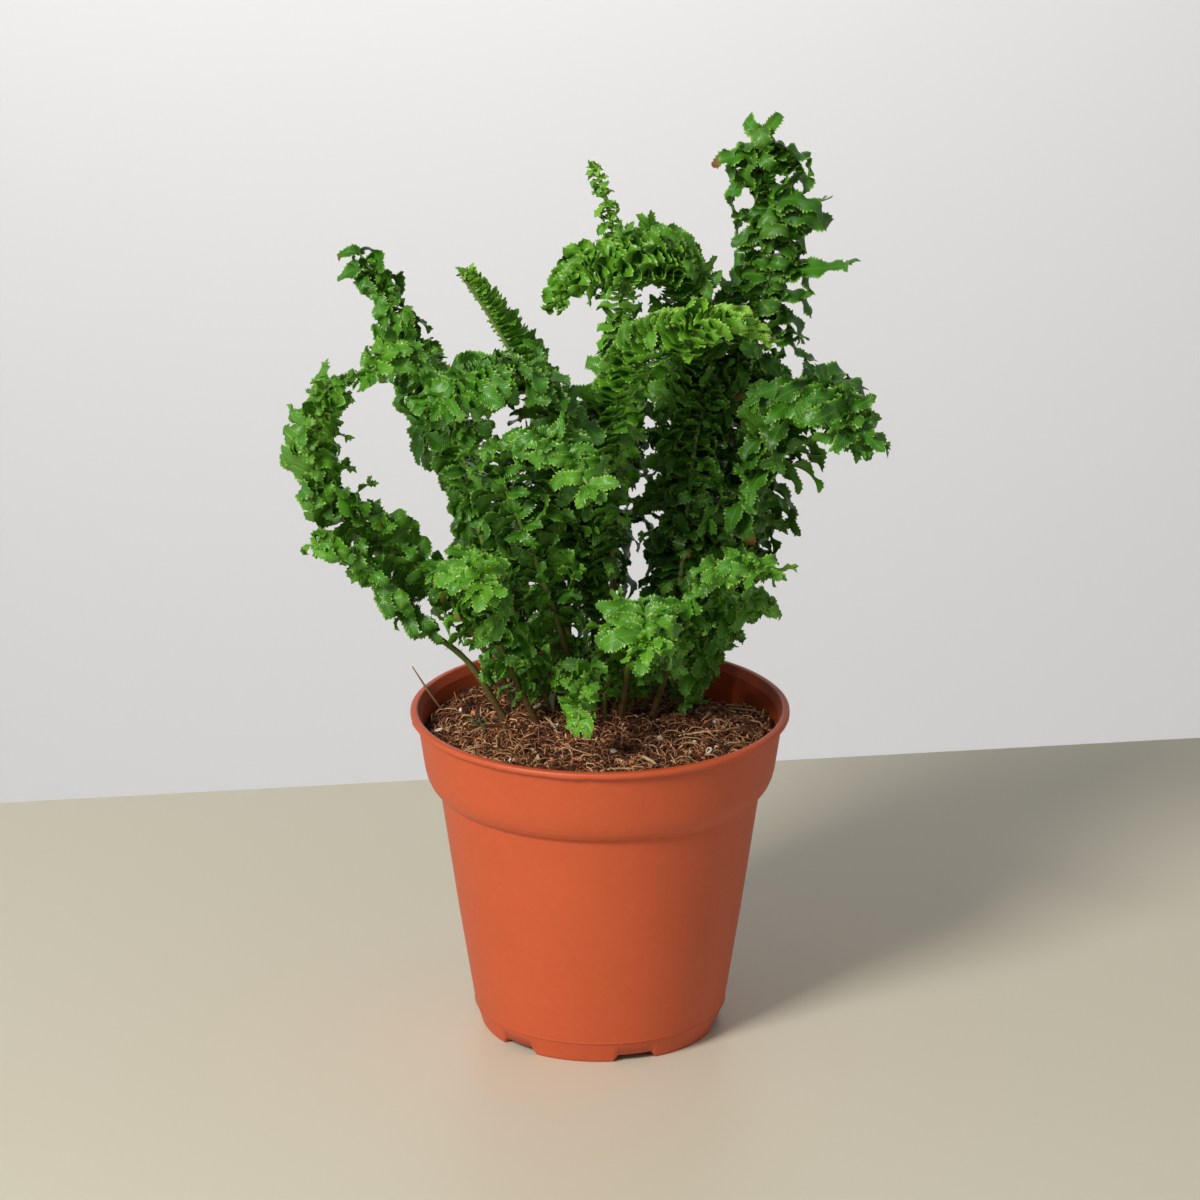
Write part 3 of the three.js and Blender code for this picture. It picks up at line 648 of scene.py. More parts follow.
# The rachis of a frond as a smooth curve, as in the solid. bank turns its two rows of leaflets about it.
class Rachis:
    def __init__(self, lean, route, bank=0, crozier=False, slim=1):
        self.bank = math.radians(bank)
        self.slim = slim
        across = math.radians(lean - 90)
        self.across = np.array([math.cos(across), math.sin(across), 0])
        points = np.array(route, float)
        self.root = points[0] + ROOT_DEPTH * unit(points[0] - points[1])
        knots = np.vstack([self.root, points])
        ends = 2 * knots[[0, -1]] - knots[[1, -2]]
        knots = np.vstack([ends[:1], knots, ends[1:]])
        t = np.linspace(0, len(knots) - 3, ROUTE_STEPS)
        first = np.minimum(t.astype(int), len(knots) - 4)
        s = (t - first)[:, None]
        a, b, c, d = (knots[first + k] for k in range(4))
        leave, arrive = (c - a) / 2, (d - b) / 2
        cubic = 2 * b - 2 * c + leave + arrive
        square = 3 * c - 3 * b - 2 * leave - arrive
        self.line = ((cubic * s + square) * s + leave) * s + b
        if crozier:
            self.line = np.vstack([self.line, self.rolled_tip()])
        steps = np.linalg.norm(np.diff(self.line, axis=0), axis=1)
        self.way = np.concatenate([[0], np.cumsum(steps)])
        self.length = self.way[-1]
        self.heading = unit(np.gradient(self.line, axis=0))

    def rolled_tip(self):
        """The last bit of an unfolding rachis, still rolled up towards its upper side."""
        point, along = self.line[-1], unit(self.line[-1] - self.line[-2])
        side = unit(self.across - along * (self.across @ along))
        rolled = []
        for step in range(CROZIER_STEPS):
            along = turned(along, side, CROZIER_TURN * (0.5 + step / CROZIER_STEPS) / CROZIER_STEPS)
            point = point + along * (CROZIER_WAY / CROZIER_STEPS)
            rolled.append(point)
        return rolled

    def at(self, share):
        """The point, and the directions along, sideways and up."""
        way = share * self.length
        point = np.array([np.interp(way, self.way, axis) for axis in self.line.T])
        along = unit(np.array([np.interp(way, self.way, axis) for axis in self.heading.T]))
        side = turned(unit(self.across - along * (self.across @ along)), along, self.bank)
        return point, along, side, np.cross(side, along)

    def half(self, share):
        return self.slim * mix(STIPE_HALF, TIP_HALF, share**0.8)


# Leaflets
@functools.lru_cache(maxsize=None)
def blade_faces(rows):
    """The faces of a closed blade: its points are the upper grid, then the teeth of both sides, then the
    inner points of the lower grid, which shares the upper one's rim. The grid's outer columns are the notches
    between the teeth."""
    columns = len(COLUMNS)
    upper = np.arange(rows * columns).reshape(rows, columns)
    teeth = upper.size + np.arange(2 * (rows - 1)).reshape(2, rows - 1)
    inner = (rows - 2) * (columns - 2)
    lower = upper.copy()
    lower[1:-1, 1:-1] = upper.size + teeth.size + np.arange(inner).reshape(rows - 2, columns - 2)
    faces = []
    for grid, order in ((upper, 1), (lower, -1)):
        middle = grid[:, 1:-1]
        corners = [middle[:-1, :-1], middle[1:, :-1], middle[1:, 1:], middle[:-1, 1:]]
        faces.append(np.stack(corners[::order], axis=-1).reshape(-1, 4))
        for notch, inside, tooth, turn in ((0, 1, teeth[0], -order), (-1, -2, teeth[1], order)):
            near, far = grid[:-1, inside], grid[1:, inside]
            before, after = grid[:-1, notch], grid[1:, notch]
            for corners in ((near, far, tooth), (far, after, tooth), (near, tooth, before)):
                faces.append(np.stack(corners[::turn], axis=-1))
    rim = np.ones((rows, columns), bool)
    rim[1:-1, 1:-1] = False
    rim = np.concatenate([rim.ravel(), np.ones(teeth.size, bool), np.zeros(inner, bool)])
    return faces, rim


def outline(u, broad):
    """Half the breadth along a leaflet: a short stalk, a rounded foot, then a taper or a broad blunt end."""
    foot = np.clip(u / 0.14, 0, 1) ** 0.6
    end = np.clip(1 - u**5, 0, 1) ** 0.6
    return np.maximum(0.07, foot * end * mix(1 - 0.42 * u, 0.78 + 0.24 * u, broad))


def midrib(start, axis, face, length, rows, curl, bend, twist, wave):
    """The points of a midrib and the blade's directions along it: along, across and up."""
    centre, a, n = Vector(start), Vector(axis), Vector(face)
    phase, sway = wave
    kept = []
    for row in range(rows):
        u = row / (rows - 1)
        b = n.cross(a)
        kept.append([*centre, *a, *b, *n])
        ripple = sway * math.cos(2 * math.pi * 1.5 * u + phase)
        turn = (a * twist + n * bend - b * (curl * (0.35 + 1.3 * u) + ripple)) / (rows - 1)
        a = (a + turn.cross(a)).normalized()
        n = n + turn.cross(n)
        n = (n - a * n.dot(a)).normalized()
        centre = centre + a * (length / (rows - 1))
    return np.array(kept).reshape(rows, 4, 3).transpose(1, 0, 2)


class Drift:
    """Numbers from -1 to 1 that change slowly along a frond, so that leaflets near each other stand alike."""

    def __init__(self, random, length):
        knots = round(length / DRIFT_GAP) + 3
        self.ways = np.linspace(0, length, knots)
        self.kept = {key: random.uniform(-1, 1, knots) for key in (*ANGLES, "curl", "kind")}

    def stance(self, random, habit, way, unruly=1.0):
        """The angles at which one leaflet stands and bends, in radians."""

        def chance(key):
            slow = np.interp(way, self.ways, self.kept[key])
            return mix(random.uniform(-1, 1), slow, habit.get("alike", 0))

        angles = {}
        for key in ANGLES:
            middle, spread = habit[key]
            angles[key] = math.radians(middle + spread * unruly * chance(key))
        pick = 0.5 + 0.5 * chance("kind")
        for share, middle, spread in habit["curls"]:
            if pick < share:
                break
            pick -= share
        angles["curl"] = math.radians(middle + spread * unruly * chance("curl"))
        angles["ruffle"] *= unruly
        return angles


def half_blade(random, rib, sign, angles, width, waves, broad, grid, slope):
    """Fills in one side of a blade, from its midrib outwards, and gives the points of its teeth."""
    centre, a, b, n = rib
    rows = len(centre)
    u = np.linspace(0, 1, rows)
    phase = random.uniform(0, 2 * math.pi)
    lobes = 1 + LOBED * np.sin(2 * math.pi * waves * u + phase + 1.4)
    half = width / 2 * outline(u, broad) * lobes * random.uniform(0.9, 1.1)
    ripple = angles["ruffle"] * np.sin(2 * math.pi * waves * u + phase) * np.clip(u * 5, 0, 1)
    cupped = angles["cup"] + math.radians(random.uniform(-10, 10))
    at, last = centre, 0.0
    stray = TOOTH_STRAY * random.uniform(-1, 1, rows) * half / (width / 2)
    pucker = PUCKER * random.uniform(-1, 1, rows) * half / (width / 2)
    for column in range(1, MIDDLE + 1):
        share = COLUMNS[MIDDLE + column]
        middle = (share + last) / 2
        angle = angles["fold"] + (cupped + ripple) * middle
        out = sign * b * np.cos(angle)[:, None] + n * np.sin(angle)[:, None]
        at = at + out * (half * (share - last))[:, None]
        if share == 1:
            at = at + a * stray[:, None]
        grid[:, MIDDLE + sign * column] = at + n * (pucker * (1 - share))[:, None]
        slope[:, MIDDLE + sign * column] = sign * angle
        last = share
    deep = (np.minimum(TOOTH_DEEP, half[1:]) * random.uniform(0.8, 1.2, rows - 1))[:, None]
    tilt = (TOOTH_TILT * random.uniform(-1, 1, rows - 1))[:, None]
    point = out[1:] * np.cos(tilt) + n[1:] * np.sin(tilt) + a[1:] * (TOOTH_LEAN / TOOTH_DEEP)
    return (at[1:] + at[:-1]) / 2 + point * deep


def thickened(grid, slope, rib):
    """The upper face of a blade, and the inner points of its lower one, which is thicker at the midrib."""
    _, _, b, n = rib
    normal = n[:, None] * np.cos(slope)[..., None] - b[:, None] * np.sin(slope)[..., None]
    thick = np.full((1, len(COLUMNS), 1), BLADE_T / 2)
    upper = grid.copy()
    upper[1:-1, 1:-1] += (normal * thick)[1:-1, 1:-1]
    thick[0, MIDDLE] *= MIDRIB_T
    lower = (grid - normal * thick)[1:-1, 1:-1]
    return upper.reshape(-1, 3), lower.reshape(-1, 3)


def blade_place(rows, length, width):
    """Where each point of a blade lies: mm along and across it, and how near the margin, from 0 to 1."""
    u = np.linspace(0, 1, rows)
    place = np.zeros((rows, len(COLUMNS), 3))
    place[..., 0] = u[:, None] * length
    place[..., 1] = COLUMNS * width / 2
    place[..., 2] = np.abs(COLUMNS)
    tips = np.zeros((2 * (rows - 1), 3))
    tips[:, 0] = np.tile((u[1:] + u[:-1]) / 2 * length, 2)
    tips[:, 1] = np.repeat((-width / 2, width / 2), rows - 1)
    tips[:, 2] = TOOTH_EDGE
    return np.concatenate([place.reshape(-1, 3), tips, place[1:-1, 1:-1].reshape(-1, 3)])


def leaflet(build, random, angles, pose, length, width, age, scorch=0.0):
    """Adds one leaflet and gives the point, direction and face at its tip."""
    start, axis, face, side = pose
    rows = max(3, round(length / TOOTH)) + 1
    wave = (random.uniform(0, 2 * math.pi), random.uniform(0.1, 0.5))
    turns = (angles["curl"], side * angles["bend"], angles["twist"])
    rib = midrib(start, axis, face, length, rows, *turns, wave)
    waves = max(1, length / random.uniform(5, 8))
    broad = random.uniform(0, 1)
    grid = np.zeros((rows, len(COLUMNS), 3))
    slope = np.zeros((rows, len(COLUMNS)))
    centre, along, _, up = rib
    grid[:, MIDDLE] = centre
    teeth = [half_blade(random, rib, sign, angles, width, waves, broad, grid, slope) for sign in (-1, 1)]
    upper, lower = thickened(grid, slope, rib)
    faces, rim = blade_faces(rows)
    place = blade_place(rows, length, width)
    tone = np.zeros((len(place), 3))
    tone[:] = (age, random.uniform(0, 1), 0)
    tone[-len(lower) :, 2] = 1
    burnt = np.zeros((len(place), 3))
    burnt[:, 0] = scorch * np.clip((place[:, 0] / length - 0.8) / 0.1, 0, 1)
    points = np.concatenate([upper, *teeth, lower])
    build.add(points, faces, rim, leaf_place=place, leaf_tone=tone, leaf_scorch=burnt)
    return centre[-1], along[-1], up[-1]


LOBES = (2, 5)
LOBE_SPREAD = 50
LOBE_LENGTH = (0.2, 0.36)
LOBE_PALER = 0.08


def crested_leaflet(build, random, crest, angles, pose, length, width, age, scorch):
    """A leaflet that may fork at its end into narrow toothed lobes, as those of a crested fern do."""
    point, axis, face = leaflet(build, random, angles, pose, length, width, age, scorch)
    if random.uniform(0, 1) > crest or length < CRESTED_FROM:
        return
    lobes = random.integers(*LOBES)
    for k in range(lobes):
        angle = mix(-LOBE_SPREAD, LOBE_SPREAD, k / (lobes - 1)) + random.uniform(-12, 12)
        small = random.uniform(*LOBE_LENGTH) * length
        heading = turned(axis, face, math.radians(angle))
        heading = unit(heading + face * random.uniform(-0.5, 0.5))
        upper = unit(face - heading * (face @ heading))
        lobe = (point - axis * 0.8, heading, upper, pose[3])
        angles = Drift(random, 0).stance(random, LOBE, 0)
        leaflet(build, random, angles, lobe, small, max(1.3, small * 0.5), age + LOBE_PALER, scorch)


def leaflet_pose(angles, place, side, t, half, over=0):
    point, along, across, up = place
    forward = angles["forward"] + CLOSING * t**2
    lift = angles["lift"]
    axis = across * (side * math.cos(forward) * math.cos(lift))
    axis = unit(axis + along * (math.sin(forward) * math.cos(lift)) + up * math.sin(lift))
    face = unit(up - axis * (up @ axis))
    face = turned(face, axis, -side * angles["roll"])
    foot = across * (side * (half * 0.6 - over)) + up * (half * min(1, over))
    return point + foot, axis, face, side


def covering_pose(random, place, side, half):
    """A leaflet that stands on the rachis's upper side and leans over it."""
    point, along, across, up = place
    up = up * random.choice((-1, 1))
    lean = up * random.uniform(0.3, 1) + along * random.uniform(0.1, 1) + across * random.uniform(-0.7, 0.7)
    axis = unit(lean)
    face = unit(np.cross(axis, unit(along * random.uniform(-1, 1) + across * random.uniform(-1, 1))))
    return point + up * half * 0.6, axis, face, side


FOOT_SIZE = 0.45  # the lowest leaflets as a share of the longest
FOOT_SHARE = 0.25  # the share of the rachis over which they reach full size
CRUMPLED_FROM = 0.6
TUFT_SPREAD = 70
FAN_TUFT = 7
PLAIN_TUFT = 3


def grow_rows(frond, habit, rachis, drifts, random, grow):
    """The two rows of leaflets, from the lowest to the tip, with those that stand between them."""
    bare = frond["bare"]
    way, side = bare * rachis.length, 1
    while way < LAST_SHARE * rachis.length:
        share = way / rachis.length
        t = (share - bare) / (1 - bare)
        unruly = 1 + habit["crumple"] * max(0, (t - CRUMPLED_FROM) / (1 - CRUMPLED_FROM))
        angles = drifts[side].stance(random, habit, way, unruly)
        pose = leaflet_pose(angles, rachis.at(share), side, t, rachis.half(share), habit["over"])
        foot = mix(FOOT_SIZE, 1, min(1, t / FOOT_SHARE))
        end = mix(1, frond["tip"], max(0, (t - habit["taper"]) / (1 - habit["taper"])))
        size = frond["leaflet"] * foot * end
        grow(t, angles, pose, size * (1 + habit["uneven"] * random.uniform(-1, 1)))
        is_bushy = t < frond.get("bushy", 0)
        if is_bushy or random.uniform(0, 1) < habit["cover"]:
            pose = covering_pose(random, rachis.at(share), side, rachis.half(share))
            grow(t, angles, pose, size * (BUSHY_SIZE if is_bushy else habit.get("cover_size", COVER_SIZE)))
        way += habit["gap"] / 2 * mix(1, habit["crowd"], t)
        side = -side


def grow_accents(frond, rachis, drifts, random, grow):
    """The single long leaflets of a frond."""
    for t, side, length in frond.get("accents", ()):
        place = rachis.at(mix(frond["bare"], LAST_SHARE, t))
        angles = drifts[side].stance(random, ACCENT, t * rachis.length)
        grow(t, angles, leaflet_pose(angles, place, side, t, TIP_HALF), length, crest=1)


def grow_tuft(frond, habit, rachis, drift, random, grow):
    """The last leaflets, spread about the tip: a wide rosette on a fan, a few elsewhere."""
    is_fan = frond["habit"] == "fan"
    tuft = frond.get("tuft", FAN_TUFT if is_fan else PLAIN_TUFT)
    point, along, across, up = rachis.at(1)
    for k in range(tuft):
        middle = mix(-TUFT_SPREAD, TUFT_SPREAD, (k + 0.5) / tuft)
        angle = math.radians(middle + random.uniform(-10, 10))
        axis = unit(along * math.cos(angle) + across * math.sin(angle) + up * random.uniform(-0.3, 0.4))
        face = unit(up - axis * (up @ axis))
        length = frond["leaflet"] * frond["tip"] * random.uniform(*(ROSETTE if is_fan else KNOT))
        angles = drift.stance(random, ACCENT if is_fan else habit, rachis.length)
        grow(1, angles, (point - along * 0.5, axis, face, 1), length)


def leaf_out(build, frond, rachis, random):
    """All the leaflets of a frond, from the lowest to the tuft at its tip."""
    habit = HABITS[frond["habit"]]
    drifts = {side: Drift(random, rachis.length) for side in (-1, 1)}

    def grow(t, angles, pose, length, crest=habit["crest"]):
        width = habit["width"] * length * random.uniform(0.85, 1.15)
        age = mix(*frond["age"], t**AGE_RISE)
        scorch = 1.0 if random.uniform(0, 1) < SCORCHED else 0.0
        crested_leaflet(build, random, crest, angles, pose, length, min(width, WIDEST), age, scorch)

    grow_rows(frond, habit, rachis, drifts, random, grow)
    grow_accents(frond, rachis, drifts, random, grow)
    grow_tuft(frond, habit, rachis, drifts[1], random, grow)


STEM_STEPS = 72
STEM_SIDES = 7
HAIRS = 120
HAIR_LENGTH = (0.5, 1.5)
HAIR_RADII = (0.12, 0.09, 0.02)
KNOBBLY = 0.06


def grow_stem(build, rachis, random, hairs=HAIRS, steps=STEM_STEPS):
    """The rachis, round and slightly knobbly, with dry scales and hairs, most of them on its lower part."""
    shares = np.linspace(0.02, 1, steps)
    line = np.array([rachis.at(share)[0] for share in shares])
    radii = np.array([rachis.half(share) for share in shares]) * (1 + KNOBBLY * random.uniform(-1, 1, steps))
    radii[-1] *= 0.3
    points, faces = tubes(line[None], radii[None], STEM_SIDES)
    tone = np.zeros((len(points), 3))
    tone[:, 0] = np.repeat(np.clip(shares * 1.5, 0, 1), STEM_SIDES)
    build.add(points, faces, stem_tone=tone)
    for _ in range(hairs):
        share = random.uniform(0.15, 1) ** 2
        point, along, side, up = rachis.at(share)
        angle = random.uniform(0, 2 * math.pi)
        out = side * math.cos(angle) + up * math.sin(angle)
        half = rachis.half(share)
        size = random.uniform(*HAIR_LENGTH)
        tip = out * random.uniform(0.3, 0.9) + along * random.uniform(-0.2, 0.9)
        start = point + out * half * 0.9
        hair = np.stack([start, start + tip * size * 0.6, start + (tip + along * 0.4) * size])
        points, faces = tubes(hair[None], np.array([HAIR_RADII]), 3)
        build.add(points, faces, stem_tone=(share, 0, 0.7))


def grow_frond(frond):
    random = np.random.default_rng(frond["seed"])
    rachis = Rachis(frond["lean"], frond["route"], frond.get("bank", 0), frond.get("crozier", False))
    leaves, stem = Build("leaf_place", "leaf_tone", "leaf_scorch"), Build("stem_tone")
    leaf_out(leaves, frond, rachis, random)
    grow_stem(stem, rachis, random)
    slot = "leaf_young" if frond["name"] in YOUNG else "leaf"
    leaves.piece("leaflets_" + frond["name"], leaf_skin, slot, "frond_" + frond["name"])
    stem.piece("stem_" + frond["name"], stem_skin, "leaf", "frond_" + frond["name"])


SPRIGS = 16
SPRIG_STEPS = 26
SPRIG_HABIT = "loose"
SPRIG_SLIM = 0.55
SPRIG_HAIRS = 30
SPRIG_SPREAD = (25, 17)  # how far from the crown they stand, sideways and in depth
SPRIG_TALL = (14, 30)
SPRIG_WIDE = (6, 16)
SPRIG_LEAFLET = (5, 8)
# Raised like the ages of the low fronds at the front: partly their own, partly painted light from the front
SPRIG_AGE = (0.35, 0.6)
ROLLED_SPRIGS = 0.2


def build_sprigs():
    """Young stipes all round the crown with a few small leaflets each, leaning out under the old fronds."""
    random = np.random.default_rng(311)
    leaves, stems = Build("leaf_place", "leaf_tone", "leaf_scorch"), Build("stem_tone")
    for k in range(SPRIGS):
        angle = 2 * math.pi * (k + random.uniform(-0.3, 0.3)) / SPRIGS
        out = np.array([math.cos(angle), math.sin(angle), 0])
        x = CROWN[0] + SPRIG_SPREAD[0] * out[0] * random.uniform(0.6, 1)
        y = CROWN[1] + SPRIG_SPREAD[1] * out[1] * random.uniform(0.6, 1)
        root = on_mix(x, y)
        tall, wide = random.uniform(*SPRIG_TALL), random.uniform(*SPRIG_WIDE)
        route = [root, root + out * wide * 0.4 + Z * tall * 0.55, root + out * wide + Z * tall]
        size = random.uniform(*SPRIG_LEAFLET)
        frond = dict(habit=SPRIG_HABIT, leaflet=size, bare=0.45, tip=0.7, age=SPRIG_AGE, tuft=3)
        is_rolled = random.uniform(0, 1) < ROLLED_SPRIGS
        rachis = Rachis(math.degrees(angle), route, crozier=is_rolled, slim=SPRIG_SLIM)
        leaf_out(leaves, frond, rachis, random)
        grow_stem(stems, rachis, random, SPRIG_HAIRS, SPRIG_STEPS)
    leaves.piece("sprig_leaflets", leaf_skin, "leaf")
    stems.piece("sprig_stems", stem_skin, "leaf")


# The pot
def pot_outline():
    """Radius and height: from the middle of the floor up the inside, over the lip and down the outside."""
    lip = POT_HEIGHT - LIP_H
    inside = [(0, FLOOR_Z), (FOOT_R - 1.6, FLOOR_Z), (FOOT_R - 0.3, FLOOR_Z + 0.8)]
    inside += [(r - 0.05, z) for r, z in INSIDE[1:]]
    top = [(RIM_R - 1.3, POT_HEIGHT), (RIM_R - 0.45, POT_HEIGHT - 0.06), (RIM_R, POT_HEIGHT - 0.4)]
    band = [(RIM_R + 0.05, POT_HEIGHT - 1), (RIM_R, lip + 0.35), (RIM_R - 0.5, lip)]
    collar = [(COLLAR_TOP_R, lip - 0.6), (COLLAR_R, COLLAR_Z)]
    wall = [*reversed(SHOULDER), (NECK_R + 0.15, NECK_Z), (NECK_R - 0.15, NECK_Z - 0.6), (40.6, 35)]
    line = [(LINE_R, LINE_Z + 0.25), (LINE_R + 0.16, LINE_Z), (LINE_R - 0.25, LINE_Z - 0.2)]
    foot = [(FOOT_R + 0.5, 0.7), (FOOT_R, 0), (FOOT_R - RING_T, 0), (FOOT_R - RING_T, FLOOR_UNDER_Z)]
    return inside + top + band + collar + wall + line + foot + [(0, FLOOR_UNDER_Z)]


def sharpened(points, depth=0.25):
    """A point close to each side of every corner, so that flats stay flat when shaded smooth."""
    kept = [points[0]]
    for before, at, after in zip(points, points[1:], points[2:]):
        a, p, b = (np.array(q, float) for q in (before, at, after))
        for other in (a, None, b):
            if other is None:
                kept.append(tuple(p))
                continue
            away = np.linalg.norm(other - p)
            if away > 3 * depth:
                kept.append(tuple(p + (other - p) * depth / away))
    return kept + [points[-1]]


def notch_lift(angles):
    """How far the foot's edge is cut away at each angle."""
    centres = np.radians(NOTCH_AT + np.arange(NOTCHES) * 360 / NOTCHES)
    off = np.abs((angles[:, None] - centres + math.pi) % (2 * math.pi) - math.pi).min(axis=1) * FOOT_R
    return NOTCH_H * np.clip((NOTCH_W / 2 - off) / NOTCH_SLOPE + 1, 0, 1)


def torn_lip(angles):
    """Where the lip's lower edge is torn, from 0 to 1."""
    off = np.abs((angles[:, None] - np.radians(BURRS) + math.pi) % (2 * math.pi) - math.pi).min(axis=1)
    return np.clip(1.5 - off / BURR_SPREAD, 0, 1)


def pot_angles():
    """Even angles, with extra ones where a notch begins and ends."""
    even = np.arange(POT_SIDES) * 2 * math.pi / POT_SIDES
    centres = np.radians(NOTCH_AT + np.arange(NOTCHES) * 360 / NOTCHES)
    edges = [NOTCH_W / 2, NOTCH_W / 2 + NOTCH_SLOPE]
    extra = [c + sign * edge / FOOT_R for c in centres for edge in edges for sign in (-1, 1)]
    return np.sort(np.concatenate([even, np.array(extra) % (2 * math.pi)]))


def uneven(angles, z):
    """From -1 to 1, fine and irregular round the pot at one height."""
    around = [Vector((math.cos(a) * RAGGED_FINE, math.sin(a) * RAGGED_FINE, z)) for a in angles]
    return np.array([noise.noise(point) for point in around])


def stacked(rings, first, last):
    """The points of a turned body with a point in the middle of each end, and which points its rings hold."""
    points = np.vstack([[first], *rings, [last]])
    index = 1 + np.arange(len(points) - 2).reshape(len(rings), -1)
    return points, index, np.roll(index, -1, axis=1)


def pot_ring(r, z, angles):
    """One ring of the pot's points and how worn each is: raggedly moulded at the lip's edge and the line."""
    ragged = wear = np.zeros(len(angles))
    is_lip_edge = abs(z - (POT_HEIGHT - LIP_H)) < 0.6 and r > RIM_R - 0.8
    is_line = abs(z - LINE_Z) < 0.1 and r > LINE_R
    if is_lip_edge or is_line:
        size = LIP_RAGGED + LIP_TORN * torn_lip(angles) if is_lip_edge else LINE_RAGGED
        ragged = size * uneven(angles, z)
        wear = np.clip(ragged * 5, 0, 0.6)
    is_foot = z < NOTCH_H and r > FOOT_R - RING_T - 0.3
    height = np.maximum(z, notch_lift(angles)) if is_foot else np.full(len(angles), z)
    across = (r + ragged) * np.cos(angles), (r + ragged) * np.sin(angles)
    return np.stack([*across, height], axis=1), wear


def build_pot():
    angles = pot_angles()
    rings, wear = zip(*(pot_ring(r, z, angles) for r, z in sharpened(pot_outline())[1:-1]))
    points, index, after = stacked(rings, (0, 0, FLOOR_Z), (0, 0, FLOOR_UNDER_Z))
    quads = np.stack([index[1:], after[1:], after[:-1], index[:-1]], axis=-1).reshape(-1, 4)
    top = np.stack([np.zeros_like(index[0]), after[0], index[0]], axis=1)
    under = np.stack([np.full_like(index[-1], len(points) - 1), index[-1], after[-1]], axis=1)
    values = np.zeros((len(points), 3))
    values[1:-1, 0] = np.concatenate(wear)
    build = Build("pot_wear")
    build.add(points, [quads, top, under], pot_wear=values)
    drill(build.piece("pot_shell", pot_skin, "pot", "pot"))


def drill(pot):
    """The drain holes in the pot's floor."""
    cutters = Build()
    for angle in np.radians(NOTCH_AT + np.arange(NOTCHES) * 360 / NOTCHES):
        x, y = DRAINS_ON_R * math.cos(angle), DRAINS_ON_R * math.sin(angle)
        line = np.array([[x, y, FLOOR_UNDER_Z - 3], [x, y, FLOOR_Z + 3]])
        points, faces = tubes(line[None], np.full((1, 2), DRAIN_R), 32)
        cutters.add(points, faces)
    cutter = cutters.piece("drain_cutter", pot_skin, "pot")
    cut = pot.modifiers.new("drains", "BOOLEAN")
    cut.operation = "DIFFERENCE"
    cut.solver = "EXACT"
    cut.object = cutter
    graph = bpy.context.evaluated_depsgraph_get()
    mesh = bpy.data.meshes.new_from_object(pot.evaluated_get(graph))
    pot.modifiers.clear()
    pot.data = mesh
    bpy.data.objects.remove(cutter)


# The potting mix
def soil_height(x, y):
    def near(centre, spread):
        return np.exp(-(((x - centre[0]) ** 2 + (y - centre[1]) ** 2) / spread**2))

    return SOIL_Z + SOIL_MOUND * near(CROWN, HEAP_SPREAD) - SOIL_SINK * near(SINK_AT, SINK_SPREAD)


def on_mix(x, y, above=0.0):
    return np.array([x, y, soil_height(x, y) + above])


def inside_radius(z):
    radii, heights = zip(*INSIDE)
    return np.interp(z, heights, radii)


SOIL_RINGS = 48
SOIL_SECTORS = 150
SOIL_LUMP = 1.5
SOIL_FOOT_Z = FLOOR_Z + 0.3


def build_soil():
    angles = np.arange(SOIL_SECTORS) * 2 * math.pi / SOIL_SECTORS
    edge = inside_radius(SOIL_Z) - SOIL_GAP
    rings = []
    for share in np.linspace(0, 1, SOIL_RINGS)[1:]:
        x, y = share * edge * np.cos(angles), share * edge * np.sin(angles)
        lumps = np.array([noise.fractal(Vector((a * 0.35, b * 0.35, 0)), 0.7, 2.1, 4) for a, b in zip(x, y)])
        rings.append(np.stack([x, y, soil_height(x, y) + SOIL_LUMP * lumps], axis=1))
    for z in (COLLAR_Z, NECK_Z, SOIL_FOOT_Z):
        r = inside_radius(z) - SOIL_GAP
        rings.append(np.stack([r * np.cos(angles), r * np.sin(angles), np.full(len(angles), z)], axis=1))
    points, index, after = stacked(rings, on_mix(0, 0), (0, 0, SOIL_FOOT_Z))
    quads = np.stack([index[:-1], index[1:], after[1:], after[:-1]], axis=-1).reshape(-1, 4)
    top = np.stack([np.zeros_like(index[0]), index[0], after[0]], axis=1)
    under = np.stack([np.full_like(index[-1], len(points) - 1), after[-1], index[-1]], axis=1)
    build = Build()
    build.add(points, [quads, top, under])
    build.piece("coir_mix", soil_skin, "soil", "soil")


FIBRE_CLEAR = 0.8  # how far fibres keep from the pot's wall
FIBRE_SUNK = 0.3
FIBRE_TILT = 0.35
FIBRE_STRAY = 0.25


def fibre_lines(random, count, lengths, lift, curve, steps=4):
    """Loose curved lines lying on the mix, inside the pot: (count, steps, 3)."""
    edge = inside_radius(SOIL_Z) - FIBRE_CLEAR
    r = edge * np.sqrt(random.uniform(0, 1, count))
    a = random.uniform(0, 2 * math.pi, count)
    x, y = r * np.cos(a), r * np.sin(a)
    heading = random.uniform(0, 2 * math.pi, count)
    length = random.uniform(*lengths, count)
    turn = random.normal(0, curve, count)
    lines = np.zeros((count, steps, 3))
    rise = random.uniform(*lift, count)
    tilt = random.normal(0, FIBRE_TILT, count)
    for step in range(steps):
        t = step / (steps - 1) - 0.5
        lines[:, step, 0] = x
        lines[:, step, 1] = y
        arch = 1 - (2 * t) ** 2
        lines[:, step, 2] = soil_height(x, y) - FIBRE_SUNK + rise * arch + tilt * t * length * 0.25
        x = x + np.cos(heading) * length / (steps - 1)
        y = y + np.sin(heading) * length / (steps - 1)
        heading = heading + turn / (steps - 1) + random.normal(0, FIBRE_STRAY, count)
    inside = np.hypot(lines[..., 0], lines[..., 1]).max(axis=1) < edge
    return lines[inside]


